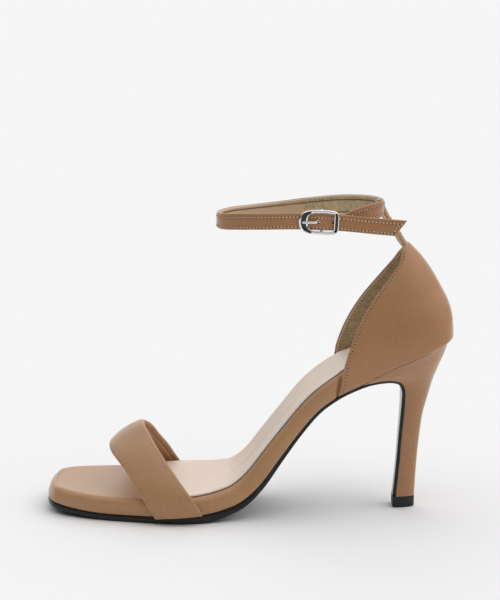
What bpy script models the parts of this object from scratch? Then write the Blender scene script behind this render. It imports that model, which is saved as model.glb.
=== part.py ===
"""A left high-heeled sandal: toe band, closed heel quarter with a back tab, ankle strap and buckle.

Metres, +Z up. The origin is the centre of the heel tip's ground face. +X runs from toe to heel, the
outer side of the foot is at -Y and the inner side at +Y.
"""

import math

import bmesh
import bpy
import numpy as np

# Driving sizes, in metres
SOLE_LENGTH = 0.2087  # toe tip to heel end, along the floor
HEEL_SETBACK = 0.0217  # heel tip centre to the heel end of the seat
SEAT_HEIGHT = 0.0915  # floor to the seat line at the heel end
BALL_WIDTH = 0.0765  # footbed at the ball
SEAT_WIDTH = 0.0515  # footbed at the heel seat
GAP = 0.0003  # between pieces that touch
OUTSOLE_THICKNESS = 0.0044  # at the ball
OUTSOLE_INSET = 0.0012  # outsole edge inside the footbed edge
OUTSOLE_EDGE = 0.0006  # its rounded lower edge
FLAP_THICKNESS = 0.0015  # outsole where it covers the heel breast
TURN_BEFORE = 0.0050  # start of the outsole's turn, ahead of the heel's front lip
TURN_AFTER = 0.0040  # end of the turn, down the heel's front
FOOTBED_THICKNESS = 0.0088
FOOTBED_EDGE_RADIUS = 0.0032
FOOTBED_TUCK = 0.0009  # inset of the footbed's lower edge
DISH = 0.0010  # hollow of the footbed across its width
SOCK_THICKNESS = 0.0011
SOCK_MARGIN = 0.0021  # bare footbed left beside the sock
SOCK_START = 0.0560  # toe tip to the sock's front edge, under the toe band
WALL = 0.0018  # leather and lining of the quarter
QUARTER_PROUD = 0.0005  # quarter outside the footbed edge in front of it
HEEL_SHY = 0.0011  # heel's top edge inside the quarter's lower edge
QUARTER_LENGTH = 0.0590  # outer front corner to heel end, at the seat line
QUARTER_LEAD = 0.0020  # inner front corner ahead of the outer one
QUARTER_RAMP = 0.0035  # length over which the footbed's side steps in under the quarter
QUARTER_HEIGHT = 0.0500  # seat line at the heel end to the top
TOP_PIECE_HEIGHT = 0.0056
TOP_PIECE_LENGTH = 0.0098
TOP_PIECE_WIDTH = 0.0104
TOP_PIECE_BEVEL = 0.0004
BAND_START = 0.0320  # toe tip to the band's foremost point
BAND_RUN = 0.0495  # the band's foremost point to its rearmost one
BAND_HEIGHT = 0.0445  # floor to the top of the toe band
BAND_EDGE = 0.0022  # thickness of the band at its folded edges
BAND_PAD = 0.0014  # extra thickness along its middle
STRAP_WIDTH = 0.0083
STRAP_THICKNESS = 0.0017
STRAP_LIFT = 0.0012  # rise of the strap over the buckle's centre bar
LIFT_REACH = 0.0042  # length over which it falls again
CARRIER_THICKNESS = 0.0013  # short strap that holds the buckle
CARRIER_REACH = 0.0125  # buckle's middle to where the short strap leaves the long one
SLOT_LENGTH = 0.0050  # opening in the short strap behind the centre bar
LOOP_LENGTH = 0.0852  # ankle loop, front to back
LOOP_WIDTH = 0.0500  # ankle loop, side to side
LOOP_HEIGHT = 0.1582  # floor to the middle of the loop at its back
LOOP_FALL = 0.0062  # the loop's front lies this much lower
LOOP_AHEAD = 0.0132  # heel tip centre to the loop's back
TAIL_SKEW = 0.0054  # lean of the tail's cut end
TAB_WIDTH = 0.0140
TAB_ROUND = 0.0120  # radius of the tab round the heel tendon
TAB_TURN = 0.0012  # how far the tab is turned round it towards the inner side
TAB_THICKNESS = 0.0019
BUCKLE_AHEAD = 0.0480  # heel tip centre to the buckle's middle
BUCKLE_LENGTH = 0.0202
BUCKLE_HEIGHT = 0.0124
BUCKLE_WIRE = 0.0016
BOW_WIDTH = 0.0046  # broad front bow of the buckle
KEEPER_WIDTH = 0.0026  # flat rear bar of the buckle
PIVOT_RADIUS = 0.0007  # centre bar of the buckle
PIVOT_BEND = 0.0009  # radius of its two bends
PIVOT_S = 0.0011  # centre bar behind the buckle's middle
PRONG_RADIUS = 0.0006
STRAP_HOLE_RADIUS = 0.0010  # hole that the prong is in
SPARE_HOLE_RADIUS = 0.0006
STRAP_HOLE_PITCH = 0.0074
SPARE_HOLES = 1

TOE_X = HEEL_SETBACK - SOLE_LENGTH
FINE = 600  # samples of a profile before it is read
SHALLOW_ARC = math.radians(48)  # half opening of the quarter's section at its top


def table(names, rows):
    """The rows as one array for each named column."""
    return dict(zip(names.split(), np.array(rows, float).T))


# Sections of the last from toe to heel. along: share of SOLE_LENGTH. rise: share of SEAT_HEIGHT up to
# the line where sole and footbed meet. outer, inner: shares of the local width on each side of the
# middle. seat: how far the local width has passed from BALL_WIDTH to SEAT_WIDTH. sole, bed: shares of
# the two thicknesses. square: share of the slope by which a section of the footbed leans.
LAST = table("along rise outer inner seat sole bed square", [
    (0.000, 0.083, 0.000, 0.000, 0.00, 0.70, 0.90, 1.00),
    (0.012, 0.074, 0.205, 0.215, 0.00, 0.70, 0.92, 1.00),
    (0.034, 0.066, 0.272, 0.308, 0.00, 0.70, 0.94, 1.00),
    (0.072, 0.055, 0.330, 0.378, 0.00, 0.68, 0.96, 1.00),
    (0.130, 0.044, 0.388, 0.430, 0.00, 0.68, 0.98, 1.00),
    (0.200, 0.041, 0.430, 0.462, 0.00, 0.82, 0.98, 1.00),
    (0.272, 0.041, 0.466, 0.487, 0.00, 0.96, 1.00, 1.00),
    (0.335, 0.044, 0.485, 0.500, 0.00, 1.02, 1.02, 1.00),
    (0.392, 0.054, 0.478, 0.478, 0.04, 1.02, 1.04, 1.00),
    (0.440, 0.077, 0.468, 0.425, 0.16, 0.93, 1.04, 1.00),
    (0.484, 0.117, 0.470, 0.382, 0.36, 0.77, 1.02, 1.00),
    (0.528, 0.205, 0.480, 0.366, 0.58, 0.58, 0.98, 1.00),
    (0.574, 0.346, 0.490, 0.390, 0.76, 0.45, 0.93, 1.00),
    (0.622, 0.494, 0.500, 0.430, 0.90, 0.37, 0.88, 0.95),
    (0.668, 0.618, 0.505, 0.470, 0.98, 0.35, 0.90, 0.60),
    (0.716, 0.700, 0.500, 0.492, 1.00, 0.33, 1.04, -0.30),
    (0.778, 0.772, 0.495, 0.495, 1.00, 0.33, 1.04, -0.20),
    (0.836, 0.848, 0.492, 0.492, 1.00, 0.33, 1.02, -0.10),
    (0.893, 0.902, 0.488, 0.485, 1.00, 0.33, 0.98, 0.00),
    (0.946, 0.952, 0.430, 0.425, 1.00, 0.33, 0.94, 0.00),
    (0.980, 0.983, 0.310, 0.305, 1.00, 0.33, 0.92, 0.00),
    (1.000, 1.000, 0.000, 0.000, 1.00, 0.33, 0.90, 0.00),
])

# Sections of the heel from the seat down. front, back: shares of the way from the heel tip's own edge
# out to the seat's. front_rise, back_rise: shares of the seat's height there. flare: share of the way
# from the tip's half width to the seat's. round: exponent of the rounded back.
SEAT_FRONT = 0.778  # share of SOLE_LENGTH where the heel's front lip starts
HEEL = table("front back front_rise back_rise flare round", [
    (1.000, 1.000, 1.000, 1.000, 1.000, 2.5),
    (0.510, 0.882, 1.022, 0.915, 0.850, 2.4),
    (0.165, 0.708, 1.012, 0.832, 0.660, 2.3),
    (-0.060, 0.545, 0.974, 0.752, 0.450, 2.3),
    (-0.165, 0.430, 0.900, 0.676, 0.285, 2.3),
    (-0.180, 0.328, 0.795, 0.600, 0.165, 2.3),
    (-0.165, 0.224, 0.690, 0.522, 0.095, 2.3),
    (-0.125, 0.132, 0.510, 0.390, 0.048, 2.3),
    (-0.080, 0.056, 0.290, 0.222, 0.018, 2.3),
    (0.000, 0.000, 0.000, 0.000, 0.000, 2.3),
])

# Sections of the quarter from the seat line up. front, back: shares of QUARTER_LENGTH ahead of the
# heel end. front_rise, back_rise: shares of QUARTER_HEIGHT above the seat line there. half: share of
# half the seat width. round: exponent of the rounded back. lag: how much further back the inner
# side's front edge is, as a share of QUARTER_LENGTH. dip: how much lower it is, as a share of
# QUARTER_HEIGHT. arc: how far the section has opened to an arc.
QUARTER = table("front back front_rise back_rise half round lag dip arc", [
    (0.985, -0.018, 0.150, 0.105, 1.052, 4.2, -0.025, 0.00, 0.0),
    (0.938, -0.008, 0.370, 0.238, 1.048, 3.8, -0.027, 0.00, 0.0),
    (0.871, 0.026, 0.610, 0.382, 0.985, 3.3, -0.018, 0.00, 0.0),
    (0.777, 0.092, 0.850, 0.530, 0.870, 2.8, -0.001, 0.00, 0.0),
    (0.651, 0.173, 1.075, 0.695, 0.720, 2.5, 0.009, 0.00, 0.0),
    (0.534, 0.264, 1.245, 0.840, 0.560, 2.3, -0.009, 0.01, 0.2),
    (0.459, 0.341, 1.375, 0.935, 0.420, 2.1, -0.033, 0.05, 0.6),
    (0.444, 0.383, 1.480, 0.985, 0.330, 2.0, -0.022, 0.10, 1.0),
])

# Rows across the toe band from its outer foot to its inner foot. side: share of the way from the
# footbed's middle to its edge. front, rear: shares of BAND_RUN behind the band's foremost point.
# front_rise, rear_rise: shares of BAND_HEIGHT above the sole line.
BAND = table("side front front_rise rear rear_rise", [
    (-1.00, 0.505, 0.010, 0.995, 0.010),
    (-1.01, 0.414, 0.160, 0.917, 0.195),
    (-0.96, 0.323, 0.346, 0.828, 0.346),
    (-0.84, 0.232, 0.500, 0.701, 0.548),
    (-0.66, 0.121, 0.642, 0.576, 0.731),
    (-0.38, 0.030, 0.716, 0.465, 0.877),
    (0.00, 0.000, 0.736, 0.364, 0.997),
    (0.20, 0.020, 0.728, 0.354, 0.995),
    (0.37, 0.050, 0.690, 0.424, 0.914),
    (0.62, 0.101, 0.605, 0.525, 0.696),
    (0.82, 0.176, 0.457, 0.626, 0.486),
    (0.95, 0.253, 0.284, 0.697, 0.309),
    (1.01, 0.313, 0.136, 0.768, 0.160),
    (1.00, 0.374, 0.010, 0.838, 0.010),
])

# Middle line of the long strap from the loop's back round the inner side to the tail. ahead: share of
# LOOP_LENGTH ahead of the loop's back. side: share of half of LOOP_WIDTH. drop: share of LOOP_FALL.
LOOP = table("ahead side drop", [
    (0.016, -0.16, 0.00),
    (0.022, 0.20, 0.00),
    (0.085, 0.61, 0.04),
    (0.235, 0.89, 0.16),
    (0.420, 1.00, 0.45),
    (0.620, 0.98, 0.80),
    (0.805, 0.80, 1.00),
    (0.940, 0.45, 1.02),
    (1.000, 0.00, 1.05),
    (0.970, -0.41, 0.95),
    (0.865, -0.74, 0.75),
    (0.720, -0.94, 0.60),
    (0.555, -1.04, 0.50),
    (0.390, -1.09, 0.50),
    (0.240, -1.13, 0.60),
    (0.080, -1.16, 0.79),
    (-0.104, -1.18, 0.98),
])

# Middle line of the buckle's short strap from the tab forward, in the loop's own shares.
CARRIER = table("ahead side drop", [
    (0.016, -0.20, -0.18),
    (0.035, -0.50, -0.16),
    (0.105, -0.78, -0.08),
    (0.185, -0.96, 0.15),
])

# Middle line of the tab. ahead, climb: shares of the way from the quarter's top edge to the loop.
TAB = table("ahead climb", [
    (-0.575, -0.560),
    (-0.235, -0.240),
    (0.090, 0.010),
    (0.323, 0.275),
    (0.765, 0.720),
    (1.022, 1.080),
    (1.180, 1.310),
])


# Middle line of the prong past its eye. ahead: share of the way from the strap's hole to the prong's
# end. climb: share of the height from the strap's middle to where the prong lies on the bow.
PRONG = table("ahead climb", [
    (0.00, 0.05),
    (0.01, 0.52),
    (0.15, 0.90),
    (0.44, 1.00),
    (1.00, 1.00),
])


def spline(knots, values, at):
    """A smooth curve through one value a knot, with the slopes of parabolas through neighbours."""
    knots = np.asarray(knots, float)
    values = np.asarray(values, float)
    step = np.diff(knots)
    shape = (-1,) + (1,) * (values.ndim - 1)
    wide = step.reshape(shape)
    rise = np.diff(values, axis=0) / wide
    slope = np.empty_like(values)
    slope[1:-1] = (rise[:-1] * wide[1:] + rise[1:] * wide[:-1]) / (wide[:-1] + wide[1:])
    slope[0] = 1.5 * rise[0] - 0.5 * slope[1]
    slope[-1] = 1.5 * rise[-1] - 0.5 * slope[-2]
    at = np.clip(at, knots[0], knots[-1])
    i = np.clip(np.searchsorted(knots, at, side="right") - 1, 0, len(step) - 1)
    t = ((at - knots[i]) / step[i]).reshape(shape)
    h = step[i].reshape(shape)
    return ((1 + 2 * t) * (1 - t) ** 2 * values[i] + t * (1 - t) ** 2 * h * slope[i]
            + t * t * (3 - 2 * t) * values[i + 1] + t * t * (t - 1) * h * slope[i + 1])


def measured(points):
    """Length along a line of points, from its first one."""
    steps = np.linalg.norm(np.diff(points, axis=0), axis=1)
    return np.concatenate([[0.0], np.cumsum(steps)])


def round_share(along):
    """A parameter in which a width that ends in a round tip falls off evenly."""
    return np.arccos(1 - 2 * np.asarray(along)) / math.pi


def last_line():
    """The last's profile, sampled finely, with its widths, thicknesses and section leans."""
    u = np.linspace(0, 1, FINE)
    knots = round_share(LAST["along"])
    read = {name: spline(knots, column, u) for name, column in LAST.items()}
    along = (1 - np.cos(math.pi * u)) / 2
    read["rise"] = spline(LAST["along"], LAST["rise"], along)
    width = BALL_WIDTH + (SEAT_WIDTH - BALL_WIDTH) * read["seat"]
    line = {"x": TOE_X + along * SOLE_LENGTH, "z": read["rise"] * SEAT_HEIGHT,
            "outer": read["outer"] * width, "inner": read["inner"] * width}
    line["s"] = measured(np.column_stack([line["x"], line["z"]]))
    slope = np.arctan2(np.gradient(line["z"], line["s"]), np.gradient(line["x"], line["s"]))
    line["slope"] = slope
    line["lean"] = slope * read["square"]
    line["bed"] = read["bed"] * FOOTBED_THICKNESS / np.cos(slope - line["lean"])
    line["sole"] = read["sole"] * OUTSOLE_THICKNESS
    line["u"] = u
    return line


LINE = last_line()


def at_x(name, x):
    """What the last has at a place along X."""
    return np.interp(x, LINE["x"], LINE[name])


def stations(x_start, x_end, count):
    """Lengths along the last's profile from one X to another, close together at its round ends."""
    first, final = at_x("u", x_start), at_x("u", x_end)
    return np.interp(np.linspace(first, final, count), LINE["u"], LINE["s"])


def place(line, s, y, n):
    """World points n above a profile, s along it and y across it."""
    x, z, lean = (np.interp(s, line["s"], line[name]) for name in ("x", "z", "lean"))
    return np.column_stack([x - n * np.sin(lean), y, z + n * np.cos(lean)])


def outline(line, s, inset, cut=lambda points: 0):
    """A closed outline in length and width: the outer side, then the inner one back, moved inwards.

    Where the line doesn't run out to a point, the outline ends in a straight cut, whose corners move
    only with their own sides. The function cut adds an inset of its own at each of the outline's points.
    """
    outer, inner = (np.interp(s, line["s"], line[name]) for name in ("outer", "inner"))
    first = 1 if outer[0] + inner[0] < GAP else 0
    final = len(s) - (1 if outer[-1] + inner[-1] < GAP else 0)
    back = slice(first, final)
    points = np.concatenate([np.column_stack([s, -outer]),
                             np.column_stack([s[back], inner[back]])[::-1]])
    tangent = np.roll(points, -1, axis=0) - np.roll(points, 1, axis=0)
    for end in [0] * (first == 0) + [len(s)] * (final == len(s)):
        tangent[end] = points[end + 1] - points[end]
        tangent[end - 1] = points[end - 1] - points[end - 2]
    tangent /= np.linalg.norm(tangent, axis=1)[:, None]
    inset = np.broadcast_to(inset + cut(points), len(points))[:, None]
    return points + inset * np.column_stack([-tangent[:, 1], tangent[:, 0]])


def facing(line, s):
    """Pairs of places in an outline that face each other across it."""
    outer, inner = (np.interp(s, line["s"], line[name]) for name in ("outer", "inner"))
    count = len(s)
    size = 2 * count - int(outer[0] + inner[0] < GAP) - int(outer[-1] + inner[-1] < GAP)
    shift = 0 if outer[0] + inner[0] < GAP else 1
    return [(i, (size - shift - i) % size) for i in range(count)]


def evenly(points, count):
    """The same line through a number of points at even lengths."""
    s = measured(points)
    even = np.linspace(0, s[-1], count)
    return np.column_stack([np.interp(even, s, column) for column in points.T])


def rounded_side(front, back, half, power, count, arc=0.0):
    """One side of a section from its front round to the middle of its back: X and half width.

    It is a quarter of a superellipse, or, by the share arc, a shallow arc of a circle.
    """
    turn = np.linspace(0, math.pi / 2, 90)
    x = front + (back - front) * np.sin(turn) ** (2 / power)
    y = half * np.cos(turn).clip(0) ** (2 / power)
    y[-1] = 0
    full = evenly(np.column_stack([x, y]), count)
    shallow = SHALLOW_ARC * (1 - turn / turn[-1])
    sag = (np.cos(shallow) - math.cos(SHALLOW_ARC)) / (1 - math.cos(SHALLOW_ARC))
    bow = np.column_stack([front + (back - front) * sag, half * np.sin(shallow) / math.sin(SHALLOW_ARC)])
    return full + (evenly(bow, count) - full) * arc


def seat_sides(x_starts, proud, count):
    """Both sides of the seat's own outline from their places along X to the heel end, moved out."""
    s = stations(min(x_starts) - 0.004, HEEL_SETBACK, 90)
    flat = outline(LINE, s, -proud)
    beyond = np.clip(flat[:, 0] - s[-1], 0, None)
    world = np.column_stack([np.interp(flat[:, 0], LINE["s"], LINE["x"]) + beyond, np.abs(flat[:, 1]),
                             np.interp(flat[:, 0], LINE["s"], LINE["z"])])
    sides = []
    for x_start, side in zip(x_starts, (world[:len(s)], world[len(s) - 1:][::-1])):
        start = [np.interp(x_start, side[:, 0], column) for column in side.T]
        side = np.concatenate([[start], side[side[:, 0] > x_start]])
        side[-1, 1] = 0
        sides.append(evenly(side, count))
    return sides


def halves(size):
    """Pairs of places that face each other in a loop that starts and ends at one side."""
    return [(i, size - 1 - i) for i in range(size // 2 + size % 2)]


def strip(faces, here, there):
    """Faces between two rows of points that may differ in number."""
    i = j = 0
    while i < len(here) - 1 or j < len(there) - 1:
        lead = (i + 1) * (len(there) - 1) - (j + 1) * (len(here) - 1)
        one, two = i, j
        i += lead <= 0 and i < len(here) - 1
        j += lead >= 0 and j < len(there) - 1
        corners = [here[one], here[i], there[j], there[two]]
        faces.append(list(dict.fromkeys(corners)))


def cap(points, faces, loop, pairs, columns, sink):
    """Closes a loop with strips between facing places, hollowed by the vector sink in the middle."""
    rows = []
    for a, b in pairs:
        low, high = points[loop[a]], points[loop[b]]
        row = [loop[a]]
        inner = np.arange(1, columns) / columns if 0 < len(rows) < len(pairs) - 1 and a != b else ()
        for share in inner:
            row.append(len(points))
            points.append(low + (high - low) * share + np.asarray(sink) * 4 * share * (1 - share))
        rows.append(row + [loop[b]] * (a != b))
    for here, there in zip(rows, rows[1:]):
        strip(faces, here, there)


def loft(loops, pairs=None, columns=1, sinks=((0, 0, 0), (0, 0, 0)), ring=False):
    """Points and faces of a solid through equal loops, capped, or closed on itself as a ring."""
    loops = [np.asarray(loop) for loop in loops]
    size = len(loops[0])
    points = [point for loop in loops for point in loop]
    faces = []
    spans = len(loops) if ring else len(loops) - 1
    for row in range(spans):
        here, there = row * size, (row + 1) % len(loops) * size
        for i in range(size):
            j = (i + 1) % size
            faces.append([here + i, here + j, there + j, there + i])
    if not ring:
        pairs = pairs or halves(size)
        for start, sink in zip((0, (len(loops) - 1) * size), sinks):
            cap(points, faces, list(range(start, start + size)), pairs, columns, sink)
    return points, faces


def plate(outside, inside):
    """Points and faces of a solid between two grids of the same size."""
    rows, cols = outside.shape[:2]
    points = list(outside.reshape(-1, 3)) + list(inside.reshape(-1, 3))
    count = rows * cols
    faces = []
    for r in range(rows - 1):
        for c in range(cols - 1):
            quad = [r * cols + c, r * cols + c + 1, (r + 1) * cols + c + 1, (r + 1) * cols + c]
            faces.append(quad)
            faces.append([i + count for i in reversed(quad)])
    rim = ([c for c in range(cols)] + [r * cols + cols - 1 for r in range(1, rows)]
           + [(rows - 1) * cols + c for c in range(cols - 2, -1, -1)]
           + [r * cols for r in range(rows - 2, 0, -1)])
    for a, b in zip(rim, rim[1:] + rim[:1]):
        faces.append([b, a, a + count, b + count])
    return points, faces


def plain_finish(name, colour, roughness, metallic=0.0):
    """A plain finish of one colour."""
    finish = bpy.data.materials.new(name)
    finish.use_nodes = True
    shader = finish.node_tree.nodes["Principled BSDF"]
    shader.inputs["Base Color"].default_value = (*colour, 1)
    shader.inputs["Roughness"].default_value = roughness
    shader.inputs["Metallic"].default_value = metallic
    return finish


def solid(name, shape, finish=None, sharp=math.radians(35)):
    """An object from points and faces, with its faces turned outwards and its round parts smooth."""
    mesh = bpy.data.meshes.new(name)
    mesh.from_pydata([tuple(point) for point in shape[0]], [], shape[1])
    work = bmesh.new()
    work.from_mesh(mesh)
    bmesh.ops.recalc_face_normals(work, faces=work.faces)
    work.to_mesh(mesh)
    work.free()
    mesh.shade_smooth()
    mesh.set_sharp_from_angle(angle=sharp)
    if finish:
        mesh.materials.append(finish)
    piece = bpy.data.objects.new(name, mesh)
    bpy.context.scene.collection.objects.link(piece)
    return piece


def guide(name, shape):
    """A shape that is only joined to a piece or cut from it."""
    piece = solid(name, shape)
    piece.hide_render = True
    piece.display_type = "WIRE"
    return piece


def combine(piece, other, operation):
    """Joins or cuts a piece with a guide."""
    step = piece.modifiers.new(f"{operation} {other.name}", "BOOLEAN")
    step.operation = operation
    step.solver = "EXACT"
    step.object = other


def rounded_edge(radius, steps):
    """Drop below the top and inset from the side along a quarter circle."""
    turn = np.linspace(0, math.pi / 2, steps)
    return np.column_stack([radius * (1 - np.sin(turn)), radius * (1 - np.cos(turn))])


# Sole, heel and tip

QUARTER_FRONT_X = HEEL_SETBACK - QUARTER_LENGTH
SEAT_FRONT_X = TOE_X + SEAT_FRONT * SOLE_LENGTH
BED_STATIONS = stations(TOE_X, HEEL_SETBACK, 56)


def under_quarter(points):
    """How far an outline is cut back where the quarter covers the footbed's side."""
    x = np.interp(points[:, 0], LINE["s"], LINE["x"]) + QUARTER_LEAD * (points[:, 1] > 0)
    t = np.clip((x - (QUARTER_FRONT_X - GAP - QUARTER_RAMP)) / QUARTER_RAMP, 0, 1)
    return (WALL + GAP - QUARTER_PROUD) * t * t * (3 - 2 * t)


def footbed():
    """Padded, wrapped midsole with a soft side and a round top edge."""
    s = BED_STATIONS
    height = np.interp(s, LINE["s"], LINE["bed"])
    side = [(0.00, 1.0), (0.10, 0.2), (0.35, 0.0)]  # share of the height, share of the tuck
    loops = []
    for share, tuck in side:
        flat = outline(LINE, s, tuck * FOOTBED_TUCK, under_quarter)
        n = share * np.interp(flat[:, 0], s, height)
        loops.append(place(LINE, flat[:, 0], flat[:, 1], n))
    for drop, inset in rounded_edge(FOOTBED_EDGE_RADIUS, 4):
        flat = outline(LINE, s, inset, under_quarter)
        n = np.interp(flat[:, 0], s, height) - drop
        loops.append(place(LINE, flat[:, 0], flat[:, 1], n))
    shape = loft(loops, facing(LINE, s), 4, ((0, 0, 0), (0, 0, -DISH)))
    return solid("footbed", shape, plain_finish("tan wrap", (0.48, 0.27, 0.16), 0.45))


def sock():
    """Thin insole sheet on the footbed."""
    start = at_x("s", TOE_X + SOCK_START)
    s = np.concatenate([[start], BED_STATIONS[BED_STATIONS > start + GAP]])
    base = np.interp(s, LINE["s"], LINE["bed"]) + GAP
    loops = []
    for rise, inset in ((0.0, 0.0), (0.6, 0.0), (1.0, 0.4)):
        margin = SOCK_MARGIN + FOOTBED_EDGE_RADIUS / 2 + inset * SOCK_THICKNESS
        flat = outline(LINE, s, margin, under_quarter)
        n = np.interp(flat[:, 0], s, base) + rise * SOCK_THICKNESS
        loops.append(place(LINE, flat[:, 0], flat[:, 1], n))
    sink = (0, 0, -DISH)
    shape = loft(loops, facing(LINE, s), 4, (sink, sink))
    return solid("sock", shape, plain_finish("pale sock", (0.75, 0.65, 0.58), 0.55))


def heel_rows():
    """Front and back points and half widths of the heel's sections, from the seat to the tip."""
    tip_z = TOP_PIECE_HEIGHT + GAP
    tip = TOP_PIECE_LENGTH / 2
    seat_z = at_x("z", SEAT_FRONT_X) - GAP
    end_z = at_x("z", HEEL_SETBACK) - GAP
    rim = QUARTER_PROUD - HEEL_SHY
    half = at_x("outer", SEAT_FRONT_X) + rim
    front_x = -tip - HEEL["front"] * (-SEAT_FRONT_X - tip)
    back_x = tip + HEEL["back"] * (HEEL_SETBACK + rim - tip)
    front_z = tip_z + HEEL["front_rise"] * (seat_z - tip_z)
    back_z = tip_z + HEEL["back_rise"] * (end_z - tip_z)
    width = TOP_PIECE_WIDTH / 2 + HEEL["flare"] * (half - TOP_PIECE_WIDTH / 2)
    return front_x, front_z, back_x, back_z, width


def outsole_line():
    """The sole's profile: under the last to the heel, then down the front of the heel."""
    front_x, front_z, _, _, width = heel_rows()
    heel_s = measured(np.column_stack([front_x, front_z]))
    down = np.linspace(0, heel_s[-1], 60)
    down = down[down > TURN_AFTER]
    under = LINE["x"] < SEAT_FRONT_X - TURN_BEFORE
    lip = {"x": spline(heel_s, front_x, down), "z": spline(heel_s, front_z, down),
           "outer": spline(heel_s, width, down) - GAP}
    lip["inner"] = lip["outer"]
    lip["sole"] = np.full(len(down), FLAP_THICKNESS)
    knots = {name: np.concatenate([LINE[name][under], lip[name]]) for name in lip}
    s = measured(np.column_stack([knots["x"], knots["z"]]))
    toe = s < BAND_START
    fine = np.unique(np.concatenate([s[toe], np.linspace(0, s[-1], FINE)]))
    line = {name: spline(s, column, fine) for name, column in knots.items()}
    line["s"] = measured(np.column_stack([line["x"], line["z"]]))
    slope = np.unwrap(np.arctan2(np.gradient(line["z"], line["s"]), np.gradient(line["x"], line["s"])))
    line["lean"] = slope
    return line


def outsole():
    """Sole sheet, ground flat where it stands, with its flap on the heel breast."""
    line = outsole_line()
    waist = stations(TOE_X, SEAT_FRONT_X - TURN_BEFORE - TURN_AFTER, 44)
    flap = np.linspace(waist[-1], line["s"][-1], 26)[1:]
    s = np.concatenate([waist, flap])
    thick = np.interp(s, line["s"], line["sole"])
    loops = []
    for share, inset in ((1.0, OUTSOLE_EDGE), (0.75, 0.0), (0.0, 0.0)):
        flat = outline(line, s, OUTSOLE_INSET + inset)
        n = -GAP - share * np.interp(flat[:, 0], s, thick)
        loop = place(line, flat[:, 0], flat[:, 1], n)
        loop[:, 2] = np.maximum(loop[:, 2], 0.0)
        loops.append(loop)
    shape = loft(loops, facing(line, s))
    return solid("outsole", shape, plain_finish("black sole", (0.02, 0.02, 0.022), 0.35))


def heel():
    """Slim heel: a D-shaped section with a flat front, flared to the seat's own outline."""
    front_x, front_z, back_x, back_z, width = heel_rows()
    rows = np.arange(len(front_x))
    fine = np.linspace(0, rows[-1], 22)
    front_x, front_z, back_x, back_z, width, power = (
        spline(rows, column, fine) for column in (front_x, front_z, back_x, back_z, width, HEEL["round"]))
    count = 13
    seat = seat_sides((SEAT_FRONT_X, SEAT_FRONT_X), QUARTER_PROUD - GAP, count)
    loops = []
    for i in range(len(fine)):
        plain = rounded_side(front_x[i], back_x[i], width[i], power[i], count)
        share = (plain[:, 0] - front_x[i]) / (back_x[i] - front_x[i])
        plain = np.column_stack([plain, front_z[i] + (back_z[i] - front_z[i]) * share])
        weight = np.clip(1 - fine[i], 0, 1)
        outer, inner = (plain + (side - (0, 0, GAP) - plain) * weight for side in seat)
        loops.append(np.concatenate([outer * (1, -1, 1), inner[-2::-1]]))
    return solid("heel", loft(loops), plain_finish("tan heel cover", (0.42, 0.23, 0.13), 0.45))


def top_piece():
    """Hard tip under the heel, in the heel's own D shape, with the sole's flap above its front."""
    half_length, half_width = TOP_PIECE_LENGTH / 2, TOP_PIECE_WIDTH / 2
    turn = np.linspace(0, math.pi / 2, 9)
    a = np.sin(turn) ** (2 / HEEL["round"][-1])
    side = np.cos(turn).clip(0) ** (2 / HEEL["round"][-1])
    front = -half_length - FLAP_THICKNESS - GAP
    loops = []
    for z, inset in ((0.0, TOP_PIECE_BEVEL), (TOP_PIECE_BEVEL, 0.0), (TOP_PIECE_HEIGHT, 0.0)):
        x = front + inset + (half_length - front - 2 * inset) * a
        y = (half_width - inset) * side
        z_row = np.full(len(x), z)
        loops.append(np.concatenate([np.column_stack([x, -y, z_row]),
                                     np.column_stack([x, y, z_row])[-2::-1]]))
    return solid("top_piece", loft(loops), plain_finish("dark tip", (0.03, 0.03, 0.032), 0.5))


# Toe band

def band_rows(count):
    """Front and rear edges of the toe band, evenly read from its outer foot to its inner foot."""
    start = TOE_X + BAND_START
    front_x = start + BAND["front"] * BAND_RUN
    rear_x = start + BAND["rear"] * BAND_RUN
    edges = []
    for x, rise in ((front_x, BAND["front_rise"]), (rear_x, BAND["rear_rise"])):
        half = np.where(BAND["side"] < 0, at_x("outer", x), at_x("inner", x))
        stand = GAP + BAND_EDGE + BAND_PAD / 2
        y = BAND["side"] * (half + stand)
        low = at_x("z", x)
        z = low + rise * (BAND_HEIGHT - low)
        edges.append(np.column_stack([x, y, z]))
    middle = (edges[0] + edges[1]) / 2
    s = measured(middle)
    even = np.linspace(0, s[-1], count)
    return spline(s, edges[0], even), spline(s, edges[1], even)


def toe_band():
    """Padded band over the toes: a lens-shaped section with folded edges, carried from foot to foot."""
    front, rear = band_rows(34)
    middle = (front + rear) / 2
    along = np.gradient(middle, axis=0)
    across = rear - front
    normal = np.cross(across, along)
    normal /= np.linalg.norm(normal, axis=1)[:, None]
    shares = np.array([0.0, 0.02, 0.08, 0.25, 0.5, 0.75, 0.92, 0.98, 1.0])
    lens = np.sqrt(np.clip(1 - np.abs(2 * shares - 1) ** 6, 0, 1))
    pad = BAND_EDGE * lens + BAND_PAD * (1 - (2 * shares - 1) ** 2)
    loops = []
    for i in range(len(front)):
        mid = front[i] + across[i] * shares[:, None] - normal[i] * BAND_EDGE / 2
        outer = mid + normal[i] * (pad[:, None] - BAND_EDGE * lens[:, None] / 2)
        inner = mid - normal[i] * BAND_EDGE * lens[:, None] / 2
        loops.append(np.concatenate([outer, inner[-2:0:-1]]))
    size = len(loops[0])
    pairs = [(i, (size - i) % size) for i in range(len(shares))]
    return solid("toe_band", loft(loops, pairs), plain_finish("tan band", (0.46, 0.26, 0.155), 0.42))


# Quarter, tab and straps

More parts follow.
